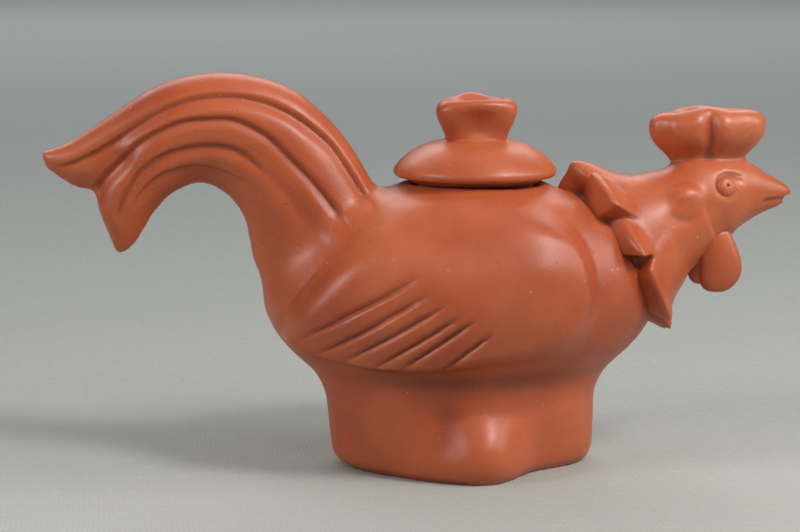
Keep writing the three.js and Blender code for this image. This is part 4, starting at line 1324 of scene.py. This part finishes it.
@dataclass
class Collar:
    """The ruff of feathers: a ring of ten slanted teeth round the flared neck.

    Attributes:
        spine: The neck's spine.
        root_radius: The ring's radius where the feathers leave the neck.
        tip_radius: Its radius at their tips.
        length: A feather's length along the neck.
        back_shares: The place of their rear ends, as shares of the neck.
        slant: How far the side edges lean round the neck.
        crest_edge: The crest feather's side edge, as a share of the half turn from the top.
        breast_edge: The breast feather's side edge.
        side_feathers: The four feathers of a side: upper edge, lower edge, the upper edge's lean, how
            high it stands, and how far the front edge stands off the neck.
        front_lift: How a front edge that stands off is spread: how far it lifts, its place along the
            feather and its width.
        side_rise: How a side feather's ridge rises from its upper edge to its lower one.
        middle_rise: How the crest and breast feathers rise towards their middle.
        skirt: The flared ring under the feathers: shares along the neck and out to the tips.
        low_section: A feather's section where it lies flat.
        high_section: Its section where it stands highest.
        crest_section: The crest and breast feathers' highest section.
    """

    spine: Spine
    root_radius: float = 13.6
    tip_radius: float = 22.0
    length: float = 13.5
    back_shares: Row = (-0.44, 0.333)
    slant: float = 0.122
    crest_edge: float = 0.11
    breast_edge: float = 0.9
    side_feathers: tuple[Row, ...] = (
        (0.1, 0.31, 0.122, 0.75, 0), (0.335, 0.5, 0.122, 0.1, 0), (0.56, 0.81, -0.12, 0.6, 0.55),
        (0.8, 0.91, 0.0, 0.3, 0.5),
    )
    front_lift: Row = (0.5, 1.02, 0.24)
    side_rise: tuple[Row, ...] = ((0, 0), (0.25, 0.2), (0.5, 0.52), (0.75, 0.84), (0.93, 1.03), (1, 1.0))
    middle_rise: tuple[Row, ...] = (
        (0, 0.4), (0.2, 0.66), (0.38, 0.93), (0.5, 1.03), (0.62, 0.93), (0.8, 0.66), (1, 0.4),
    )
    skirt: tuple[Row, ...] = (
        (1.9, -0.36), (1.6, -0.24), (1.3, -0.1), (1.05, 0.06), (0.85, 0.22), (0.66, 0.34), (0.54, 0.36),
        (0.42, 0.2), (0.3, -0.6), (1.0, -0.8),
    )
    low_section: tuple[Row, ...] = (
        (1.45, -0.45), (1.22, -0.14), (0.95, 0.06), (0.68, 0.28), (0.53, 0.34), (0.38, 0.2), (0.2, -0.1),
        (0.12, -0.3), (0.12, -0.6), (0.9, -0.65),
    )
    high_section: tuple[Row, ...] = (
        (1.4, -0.4), (1.16, -0.14), (0.88, 0.16), (0.69, 0.6), (0.53, 1.08), (0.37, 0.8), (0.1, 0.22),
        (0.0, -0.12), (0.02, -0.6), (0.9, -0.65),
    )
    crest_section: tuple[Row, ...] = (
        (1.4, -0.35), (1.15, -0.04), (0.88, 0.34), (0.6, 0.84), (0.36, 1.1), (0.2, 0.92), (-0.1, 0.6),
        (-0.14, -0.12), (-0.02, -0.6), (0.9, -0.65),
    )

    def __post_init__(self) -> None:
        """Work out the ring's directions from the neck's pitch."""
        self.facing = self.spine.facing
        self.up = Vector((-self.facing.z, 0, self.facing.x))
        self.back = self.spine.point(*self.back_shares)

    def radius(self, out: float) -> float:
        """The radius at a share of the way out to the tips."""
        return self.root_radius + (self.tip_radius - self.root_radius) * out

    @staticmethod
    def edge(share: float, slant: float, along: float) -> float:
        """Work out the angle of a feather's side edge at one place along the neck.

        Args:
            share: The edge's place, as a share of the half turn from the top.
            slant: How far it leans round the neck.
            along: The place along the neck, as a share of the feather's length.

        Returns:
            The angle from the top.
        """
        side = math.copysign(1.0, math.sin(math.pi * share))
        return math.pi * (share + side * slant * (along - 0.5))

    def add_to(self, model: Model) -> None:
        """Add the flared skirt, the crest and breast feathers, and the side feathers.

        Args:
            model: The mesh that they join.
        """
        profile = [(self.radius(out), self.length * along) for along, out in self.skirt]
        model.turn(profile, 72, Matrix.Translation(self.back) @ leaning(self.facing))
        middles = (
            (-self.crest_edge, self.crest_edge, self.crest_section),
            (self.breast_edge, 2 - self.breast_edge, self.high_section),
        )
        for start, end, section in middles:
            self.feather(model, Feather(start, end, self.slant, self.middle_rise, section), Side.RIGHT)
        lift, middle, width = self.front_lift
        for start, end, lean, first, front in self.side_feathers:
            rises = [(sweep, first + (1 - first) * rise) for sweep, rise in self.side_rise]
            high = [
                (along, out + lift * front * bell(along - middle, width)) for along, out in self.high_section
            ]
            for side in Side:
                self.feather(model, Feather(start, end, lean, rises, high), side)

    def feather(self, model: Model, feather: Feather, side: Side) -> None:
        """Add one feather between two edges round the neck.

        Args:
            model: The mesh that it joins.
            feather: Its edges and sections.
            side: The bird's side that it lies on.
        """
        rings = []
        for sweep, rise in smooth_rows(feather.rises, 3):
            corners = [blend(low, high, rise) for low, high in zip(self.low_section, feather.high)]
            rounded = smooth_rows([corners[-1], *corners, *corners[:2]], 3)[3:-6]
            ring = []
            for along, out in rounded:
                first = self.edge(feather.start, feather.lean, along)
                angle = first + (self.edge(feather.end, self.slant, along) - first) * sweep
                outward = self.up * math.cos(angle) + Vector((0, side.value * math.sin(angle), 0))
                ring.append(self.back + self.facing * self.length * along + outward * self.radius(out))
            rings.append(ring)
        model.loft(rings)


@dataclass
class Comb:
    """The flared comb on the head, pinched into six lobes.

    Attributes:
        spine: The head's spine, which its foot stands on.
        length: Its length at the top.
        width: Its width at the top.
        rise: Its height.
        rows: Its levels: height, length and width shares, how deep the valleys are, and how
            thin the ends are.
        valleys: The valleys round it: angle in degrees from the front, depth and width.
        valley_reach: How much of a valley's depth also shortens the comb.
        droops: How far its front and rear lobes hang below its top.
        foot_shares: Where its foot stands, as shares of the head's reach and rise.
    """

    spine: Spine
    length: float = 27.6
    width: float = 15.0
    rise: float = 16.2
    rows: tuple[Row, ...] = (
        (0, 0.56, 0.38, 0.04, 0.8), (0.19, 0.62, 0.42, 0.12, 0.8), (0.34, 0.75, 0.6, 0.22, 0.6),
        (0.48, 0.89, 0.88, 0.3, 0.3), (0.62, 0.98, 1.04, 0.33, 0.1), (0.76, 1.0, 1.04, 0.31, 0),
        (0.88, 0.97, 0.92, 0.24, 0), (0.96, 0.86, 0.72, 0.15, 0), (0.995, 0.62, 0.46, 0.08, 0),
        (0.97, 0.3, 0.24, 0.03, 0),
    )
    valleys: tuple[Row, ...] = ((93, 1.0, 7), (58, 0.28, 12), (147, 0.42, 12))
    valley_reach: float = 0.35
    droops: Row = (0.7, 1.3)
    foot_shares: Row = (0.366, 1.2)

    def add_to(self, model: Model) -> None:
        """Loft the comb onto the head.

        Args:
            model: The mesh that it joins.
        """
        foot = self.spine.point(*self.foot_shares)
        rings = []
        for up, length, width, lobe, thin in smooth_rows(self.rows, 6):
            ring = []
            for k in range(FINE_SIDES):
                angle = math.tau * k / FINE_SIDES
                cos, sin = math.cos(angle), math.sin(angle)
                off = abs(math.degrees(math.atan2(sin, cos)))
                pinch = 1 - lobe * sum(depth * bell(off - at, wide) for at, depth, wide in self.valleys)
                across = math.copysign(abs(sin) ** (1 + thin), sin)
                droop = self.droops[0] * smooth_step((cos + 0.1) / 0.7)
                droop += self.droops[1] * smooth_step(-cos - 0.1)
                ring.append(foot + Vector((
                    self.length / 2 * length * cos * (1 + (pinch - 1) * self.valley_reach),
                    self.width / 2 * width * across * pinch,
                    (self.rise - droop) * up,
                )))
            rings.append(ring)
        model.loft(rings)

    @staticmethod
    def foot(place: Vector) -> bool:
        """Whether a point lies where the comb is luted to the crown."""
        return 67.5 < place.z < 72 and 44 < place.x < 69


@dataclass
class NeckAndHead:
    """The neck, ruff, head and comb in one, with ear lobes, eye sockets, brows and mouth.

    Attributes:
        spine: The neck's and head's sections.
        collar: The ruff of feathers.
        comb: The comb.
        wall: The pot's wall, which trims the neck's foot.
        ear: The right ear lobe's centre: along, aside and up.
        ear_size: Its half sizes.
        ear_tilt: Its tilt, in radians.
        ear_fold: The crease under the ear lobe, along and up.
        eye: The eye's centre along and up.
        socket: The radius of the groove round the eye.
        lid: The radius of the swelling round that groove.
        brow: The brow's groove, along and up.
        mouth: The mouth's line, along and up.
        passage: The bore from the neck's foot to the beak: reach and rise shares, pitch and radius.
        voxel: The face size of the fused skin.
        most_triangles: How many triangles the finished skin may have.
    """

    spine: Spine
    collar: Collar
    comb: Comb
    wall: PotWall
    ear: Row = (49.6, 9.1, 60.9)
    ear_size: Row = (4.7, 2.5, 3.9)
    ear_tilt: float = -0.35
    ear_fold: tuple[Row, ...] = ((44.6, 60.4), (46.4, 58.4), (48.8, 57.4), (51.2, 57.6), (53.4, 58.6))
    eye: Row = (60.2, 64.2)
    socket: float = 2.7
    lid: float = 3.8
    brow: tuple[Row, ...] = ((57.2, 63.6), (58.2, 66.0), (60.4, 67.0), (62.8, 66.6), (65.2, 65.0))
    mouth: tuple[Row, ...] = ((68.0, 60.1), (70.0, 60.5), (72.9, 60.6), (75.1, 60.9), (77.4, 61.4))
    passage: tuple[Row, ...] = (
        (-0.58, 0.21, 27, 13), (-0.226, 0.45, 27, 11), (0.08, 0.705, 33, 9), (0.21, 0.843, 36, 7.7),
        (0.355, 0.96, 22, 6.8), (0.516, 0.995, 5, 5), (0.677, 1, -3, 2.9), (0.774, 0.995, -8, 1.8),
        (0.87, 0.965, -8, 1.5), (1.03, 0.917, -8, 1.3),
    )
    voxel: float = 0.42
    most_triangles: int = 190000

    def __post_init__(self) -> None:
        """Index the grooves of the face."""
        self.brow_line = Groove(
            SideLine(self.brow), 0.5, left=0.55, right=0.7, start=0.0, end=4.0, fade=0.9)
        self.mouth_line = Groove(
            SideLine(self.mouth), 0.5, left=0.35, right=0.9, start=0.0, end=4.2, fade=1.4)
        self.ear_line = Groove(
            SideLine(self.ear_fold), 0.42, left=0.8, right=2.2, start=0.0, end=4.0, fade=1.8)

    def build(self) -> bpy.types.Object:
        """Fuse the ruff, comb and ear lobes on, hollow the head, press the face in and dress it."""
        model = Model()
        self.add_tube(model, self.spine.sections(), 56)
        self.collar.add_to(model)
        self.comb.add_to(model)
        along, aside, up = self.ear
        for side in Side:
            model.ball(Vector((along, side.value * aside, up)), Vector(self.ear_size), self.ear_tilt)
        model.fuse(self.voxel)
        model.carve(self.bore())
        model.carve(self.wall.filled(96))
        model.fuse(self.voxel)
        model.soften(12, self.comb.foot)
        model.soften(18, self.beside_ear)
        model.soften(4, self.behind_face)
        model.soften(5)
        model.press(lambda place, _: self.face_rise(place))
        model.soften(1)
        model.mark_relief(passes=14, full=0.22)
        model.thin(self.most_triangles)
        feathers = [f"collar_feather_{i}" for i in range(1, 11)]
        nodes = ["neck", "head", "comb", "ear_lobe_right", "ear_lobe_left", *feathers]
        return model.finished("neck_ruff_and_head", Body.POT, POLISHED_CLAY, nodes)

    def add_tube(self, model: Model, sections: Sequence[Row], sides: int) -> None:
        """Loft a tube through sections of the spine.

        Args:
            model: The mesh that it joins.
            sections: The sections.
            sides: How many points each ring has.
        """
        model.loft([
            [self.spine.section_point(row, math.tau * k / sides) for k in range(sides)]
            for row in smooth_rows(sections, 6)
        ])

    def bore(self) -> Model:
        """The hollow through which the tea runs to the beak."""
        model = Model()
        rows = []
        for reach, rise, pitch, radius in self.passage:
            place = self.spine.point(reach, rise)
            rows.append((place.x, place.z, pitch, radius, radius))
        self.add_tube(model, rows, 40)
        return model

    def face_rise(self, place: Vector) -> float:
        """Work out how far the pressed features of the face stand out at a point.

        Args:
            place: The point, on either side.

        Returns:
            The rise, below zero for a groove.
        """
        if place.x < 44 or abs(place.y) < 0.25 or not 52 < place.z < 70:
            return 0.0
        ahead, up = place.x - self.eye[0], place.z - self.eye[1]
        around = math.hypot(ahead, up)
        above = smooth_step((up - 0.5 * ahead + 2.5) / 4)
        aside = smooth_step((abs(place.y) - 3) / 2)
        swell = 0.26 * bell(around - self.lid, 1.0) * (1 - above)
        dip = (0.02 + 0.3 * above) * bell(around - self.socket, 0.5)
        dip += self.brow_line.at(place.x, place.z) * smooth_step((around - self.socket) / 0.4)
        cheek = swell - dip - self.ear_line.at(place.x, place.z)
        return aside * cheek - self.mouth_line.at(place.x, place.z)

    @staticmethod
    def beside_ear(place: Vector) -> bool:
        """Whether a point lies on an ear lobe or where it is luted to the cheek."""
        return 43 < place.x < 56 and 56 < place.z < 68 and abs(place.y) > 5

    @staticmethod
    def behind_face(place: Vector) -> bool:
        """Whether a point lies on the neck or the ruff, behind the face."""
        return place.x < 47


@dataclass
class Eye:
    """A domed pellet with a pupil pricked in it, pressed on each side of the head.

    Attributes:
        spine: The head's spine, whose skin it sits on.
        radius: Its radius.
        relief: How far it stands out.
        station: Its place along the spine's sections.
        turn: Its angle from the top towards the left, in half turns.
        sunk: How far it is pressed in.
        profile_shares: Its profile from its back to the pupil: shares of the radius and the relief.
    """

    spine: Spine
    radius: float = 2.3
    relief: float = 0.85
    station: float = 7.22
    turn: float = -0.405
    sunk: float = 0.1
    profile_shares: tuple[Row, ...] = (
        (0.8, -2), (1.0, -1.2), (1.02, -0.3), (0.97, 0.15), (0.88, 0.5), (0.75, 0.78), (0.6, 0.95),
        (0.48, 1.02), (0.38, 1.05), (0.28, 1.07), (0.18, 1.04), (0.12, 0.85), (0.06, 0.55), (0, 0.45),
    )

    def build(self, side: Side) -> bpy.types.Object:
        """Spin the pellet, lay it on the head and dress it.

        Args:
            side: The bird's side that it sits on.

        Returns:
            The piece.
        """
        model = Model()
        profile = smooth_rows(self.profile_shares, 3)
        points = [(0.0, profile[0][1]), *profile[:-1], (0.0, profile[-1][1])]
        place, outward = self.spine.skin(self.station, self.turn * math.pi)
        turned = [(self.radius * out, self.relief * up) for out, up in points]
        model.turn(turned, 40, Matrix.Translation(place - outward * self.sunk) @ leaning(outward))
        model.mark_relief(passes=6, full=0.1)
        if side is Side.LEFT:
            model.mirrored()
        name = f"eye_{side.name.lower()}"
        return model.finished(name, Body.POT, POLISHED_CLAY, [name])


@dataclass
class Wattle:
    """A hanging drop of clay beside the throat.

    Attributes:
        top: Its top, along and up.
        drop: Its length.
        width: Its greatest width, along the pot.
        thickness: Its greatest thickness.
        spread: How far apart the two drops' lower ends are.
        rows: Its levels: shares of the drop, of the width it lies ahead, of the width and of the
            thickness.
    """

    top: Row = (58.6, 54.3)
    drop: float = 15.0
    width: float = 10.2
    thickness: float = 4.8
    spread: float = 12.0
    rows: tuple[Row, ...] = (
        (0, -0.05, 0.56, 0.6), (0.2, 0, 0.76, 0.82), (0.4, 0.04, 0.92, 0.97), (0.6, 0.06, 1.0, 1),
        (0.78, 0.03, 0.94, 0.92), (0.92, -0.02, 0.67, 0.68), (0.985, -0.03, 0.31, 0.36),
    )

    def build(self, side: Side) -> bpy.types.Object:
        """Loft the drop, soften it and dress it.

        Args:
            side: The bird's side that it hangs on.

        Returns:
            The piece.
        """
        model = Model()
        sides = 40
        rings = []
        for drop, forward, width, thickness in smooth_rows(self.rows, 5):
            centre = Vector((
                self.top[0] + self.width * forward,
                -(self.spread / 2) * (0.82 + 0.18 * drop),
                self.top[1] - self.drop * drop,
            ))
            rings.append([
                centre + Vector((self.width / 2 * width * math.cos(math.tau * k / sides),
                                 self.thickness / 2 * thickness * math.sin(math.tau * k / sides), 0))
                for k in range(sides)
            ])
        model.loft(rings)
        bmesh.ops.poke(model.mesh, faces=[face for face in model.mesh.faces if len(face.verts) > 4])
        model.soften(3)
        model.mark_relief(passes=6, full=0.15)
        if side is Side.LEFT:
            model.mirrored()
        name = f"wattle_{side.name.lower()}"
        return model.finished(name, Body.POT, POLISHED_CLAY, [name])


# Lid


@dataclass
class Lid:
    """The lift-off lid: domed cover, flange that holds it in the throat, and three-lobed knob.

    Attributes:
        forward: How far ahead of the origin its axis stands.
        seat: The height of its underside.
        radius: The cover's radius.
        rise: The cover's height up to the knob's foot.
        hollow: How far the cover is hollowed out.
        throat_radius: The radius of the pot's throat.
        flange_drop: How far the flange reaches down.
        flange_wall: The flange's thickness.
        clearance: The flange's play in the throat, all round.
        knob_radius: The knob's radius at its widest.
        knob_height: The knob's height.
        vent: The radius of the hole down the knob and the cover.
        steps: How many steps a full turn has.
        dome_shares: The cover's profile from the knob's foot to the rim's underside.
        knob_rows: The knob's levels: height and width shares, and how deep the lobes are.
        lobes: The knob's lobes: angle in degrees, spread in radians, and how much taller each stands.
        lobe_swell: How much further a lobe swells than the valleys draw in.
        tall_lobe: The depth of lobe at which each stands its own full height.
    """

    forward: float = 2.5
    seat: float = 65.7
    radius: float = 18.7
    rise: float = 9.5
    hollow: float = 5.4
    throat_radius: float = 14.0
    flange_drop: float = 7.0
    flange_wall: float = 2.2
    clearance: float = 0.6
    knob_radius: float = 9.4
    knob_height: float = 9.4
    vent: float = 0.8
    steps: int = 112
    dome_shares: tuple[Row, ...] = (
        (0.36, 1.05), (0.385, 1.0), (0.42, 0.965), (0.48, 0.945), (0.56, 0.91), (0.66, 0.84), (0.76, 0.735),
        (0.85, 0.61), (0.92, 0.485), (0.965, 0.38), (0.992, 0.3), (1.0, 0.23), (0.992, 0.17), (0.97, 0.125),
        (0.93, 0.1), (0.87, 0.085), (0.83, 0.05), (0.81, 0.0),
    )
    knob_rows: tuple[Row, ...] = (
        (-0.06, 0.75, 0.1), (0.1, 0.77, 0.22), (0.24, 0.81, 0.31), (0.42, 0.89, 0.34), (0.6, 0.96, 0.3),
        (0.76, 0.99, 0.22), (0.89, 0.94, 0.16), (0.97, 0.83, 0.14), (0.98, 0.7, 0.11), (0.9, 0.52, 0.07),
        (0.8, 0.32, 0.03), (0.74, 0.13, 0.0), (0.66, 0.086, 0.0), (0.3, 0.086, 0.0),
    )
    lobes: tuple[Row, ...] = ((90, 0.45, 1.4), (206, 0.6, -0.3), (-26, 0.6, 0.2))
    lobe_swell: float = 1.3
    tall_lobe: float = 0.19

    def __post_init__(self) -> None:
        """Stand the lid's axis over the mouth."""
        self.axis = Matrix.Translation((self.forward, 0, 0))

    def build(self) -> list[bpy.types.Object]:
        """Build the cover, flange and knob."""
        return [self.cover(), self.flange(), self.knob()]

    def cover(self) -> bpy.types.Object:
        """Spin the cover's profile and dress it."""
        model = Model()
        inside = self.throat_radius - self.clearance - self.flange_wall
        shares = smooth_rows(self.dome_shares, 3)
        dome = [(self.radius * out, self.seat + self.rise * up) for out, up in shares]
        model.turn([
            (self.vent, self.seat + self.rise * 1.05), *dome,
            (inside, self.seat), (inside * 0.9, self.seat + self.hollow * 0.6),
            (inside * 0.5, self.seat + self.hollow * 0.93), (self.vent, self.seat + self.hollow),
        ], self.steps, self.axis)
        model.mark_relief(passes=8, full=0.15)
        return model.finished("lid_cover", Body.LID, POLISHED_CLAY, ["lid_cover"])

    def flange(self) -> bpy.types.Object:
        """Spin the flange's profile and dress it."""
        model = Model()
        outside = self.throat_radius - self.clearance
        soft = self.flange_wall * 0.3
        inside = outside - self.flange_wall
        low, high = self.seat - self.flange_drop, self.seat + 0.4
        model.turn([
            (outside, high), (outside, low + soft), (outside - soft * 0.3, low + soft * 0.3),
            (outside - soft, low), (inside + soft, low), (inside + soft * 0.3, low + soft * 0.3),
            (inside, low + soft), (inside, high),
        ], self.steps, self.axis)
        model.mark_relief(passes=2, full=0.2)
        return model.finished("lid_flange", Body.LID, CLAY, ["lid_flange"])

    def knob(self) -> bpy.types.Object:
        """Loft the knob, its vent sunk down the middle, and dress it."""
        model = Model()
        model.loft([
            [self.knob_point(math.tau * k / FINE_SIDES, row) for k in range(FINE_SIDES)]
            for row in smooth_rows(self.knob_rows, 5)
        ])
        model.soften(3, lambda place: math.hypot(place.x - self.forward, place.y) > 2)
        model.mark_relief(passes=10, full=0.2)
        return model.finished("lid_knob", Body.LID, CLAY, ["lid_knob"])

    def knob_point(self, angle: float, row: Row) -> Vector:
        """Find a point of the knob, pinched into two near lobes and a taller far one.

        Args:
            angle: Its angle round the lid's axis.
            row: The knob's level that it lies on.

        Returns:
            The point.
        """
        up, out, lobe = row
        shares = [
            (bell(math.remainder(angle - math.radians(at), math.tau), spread), taller)
            for at, spread, taller in self.lobes
        ]
        proud = max(share for share, _ in shares)
        size = self.knob_radius * out * (1 - lobe + self.lobe_swell * lobe * proud)
        taller = up * lobe / self.tall_lobe * sum(share * more for share, more in shares)
        height = self.seat + self.rise + (self.knob_height * up + taller)
        return Vector((self.forward + size * math.cos(angle), size * math.sin(angle), height))


# Studio


@dataclass
class Studio:
    """A pale cloth, soft lamps and the camera.

    Attributes:
        target: The point that the camera looks at, in millimetres.
        distance: How far away the camera stands.
        azimuth: Its turn about the upright axis, in degrees.
        elevation: Its height angle, in degrees.
        lens: Its focal length on a 36 mm sensor.
    """

    target: Row = (-14.82, 0.0, 46.03)
    distance: float = 560.0
    azimuth: float = -7.0
    elevation: float = 8.3
    lens: float = 109.575

    def build(self) -> None:
        """Set up the camera, cloth, world and lamps."""
        bpy.context.scene.view_settings.view_transform = "Standard"
        self.camera()
        self.cloth()
        self.world()
        self.lamp("key", (400, -370, 590), (200, 200), 4.2, (1.0, 0.99, 0.97))
        self.lamp("right", (1440, -320, 800), (480, 800), 8.8, (1.0, 0.99, 0.98))
        self.lamp("left", (-1400, -520, 720), (480, 600), 11.6, (0.99, 0.99, 1.0))
        self.lamp("strip", (60, -560, 500), (900, 90), 0.9, (1.0, 1.0, 1.0))
        self.lamp("overhead", (60, 60, 760), (700, 450), 0.8, (1.0, 1.0, 1.0))
        self.lamp("background", (0, 2300, 1700), (3200, 1600), 52, (0.98, 1.0, 0.99), (0, 2100, 0))

    def camera(self) -> None:
        """Place the camera at the photograph's angle."""
        turn, tilt = math.radians(self.azimuth), math.radians(self.elevation)
        look = Vector((-math.sin(turn) * math.cos(tilt), math.cos(turn) * math.cos(tilt), -math.sin(tilt)))
        data = bpy.data.cameras.new("camera")
        data.sensor_width = 36.0
        data.lens = self.lens
        data.clip_start = 0.01
        camera = bpy.data.objects.new("camera", data)
        camera.location = (Vector(self.target) - look * self.distance) * MILLIMETRE
        camera.rotation_euler = look.to_track_quat("-Z", "Y").to_euler()
        bpy.context.scene.collection.objects.link(camera)
        bpy.context.scene.camera = camera

    def cloth(self) -> None:
        """Lay the pale woven cloth, on which the pot stands, with painted shade that darkens it into the
        distance.
        """
        sheet = bmesh.new()
        bmesh.ops.create_grid(sheet, x_segments=2, y_segments=2, size=6.0)
        data = bpy.data.meshes.new("cloth")
        sheet.to_mesh(data)
        sheet.free()
        material = bpy.data.materials.new("cloth")
        material.use_nodes = True
        tree = ShaderTree(material.node_tree)
        split = material.node_tree.nodes.new("ShaderNodeSeparateXYZ")
        tree.join(tree.place, split.inputs["Vector"])
        # Painted shade: darker with distance from the front.
        far = tree.spread(split.outputs["Y"], -0.1, 3.0, 0.0, 1.0)
        colour = tree.ramp(far, [(stop, linear(colour)) for stop, colour in CLOTH_SHADE_BY_DISTANCE])
        slubs = tree.noise(SLUBS)
        weave = tree.product(tree.threads("X"), tree.threads("Y"))
        colour = tree.mix(tree.spread(weave, 0.0, 0.5, 0.06, 0.0), colour, linear(THREAD_GAP_COLOUR))
        colour = tree.mix(tree.spread(slubs, 0.55, 0.75, 0.0, 0.3), colour, linear(SLUB_COLOUR))
        tree.join(colour, tree.shader.inputs["Base Color"])
        tree.join(tree.bump(tree.sum(weave, slubs), 0.35, 0.00014), tree.shader.inputs["Normal"])
        tree.shader.inputs["Roughness"].default_value = 0.9
        data.materials.append(material)
        cloth = bpy.data.objects.new("cloth", data)
        bpy.context.scene.collection.objects.link(cloth)
        cloth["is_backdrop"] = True

    def world(self) -> None:
        """Light the scene softly from all round."""
        world = bpy.data.worlds.new("studio")
        world.use_nodes = True
        world.node_tree.nodes["Background"].inputs["Color"].default_value = linear((205, 208, 210))
        world.node_tree.nodes["Background"].inputs["Strength"].default_value = 0.05
        bpy.context.scene.world = world

    def lamp(
        self, name: str, place: Row, size: Row, power: float, colour: Row, target: Row = (0, 0, 40)
    ) -> None:
        """Hang a rectangular softbox.

        Args:
            name: The lamp's name.
            place: Where it hangs, in millimetres.
            size: Its width and height.
            power: Its power in watts.
            colour: Its colour.
            target: The point that it faces.
        """
        data = bpy.data.lights.new(name, "AREA")
        data.shape = "RECTANGLE"
        data.size, data.size_y = (length * MILLIMETRE for length in size)
        data.energy = power
        data.color = colour
        lamp = bpy.data.objects.new(name, data)
        lamp.location = Vector(place) * MILLIMETRE
        lamp.rotation_euler = (Vector(target) - Vector(place)).to_track_quat("-Z", "Y").to_euler()
        bpy.context.scene.collection.objects.link(lamp)


def plain(bounds: object) -> object:
    """A box as plain lists of numbers."""
    return json.loads(json.dumps(bounds, default=list))


def main() -> None:
    """Build the studio and every piece."""
    logging.basicConfig(level=logging.INFO, format="%(relativeCreated)d %(name)s %(message)s")
    solid_box = plain(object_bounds())
    Studio().build()
    spine = Spine()
    PotBody(spine).build()
    NeckAndHead(spine, Collar(spine), Comb(spine), PotWall()).build()
    for side in Side:
        Eye(spine).build(side)
        Wattle().build(side)
    Lid().build()
    json.dumps({"cad": solid_box, "visual": plain(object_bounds())})


if __name__ == "__main__":
    main()
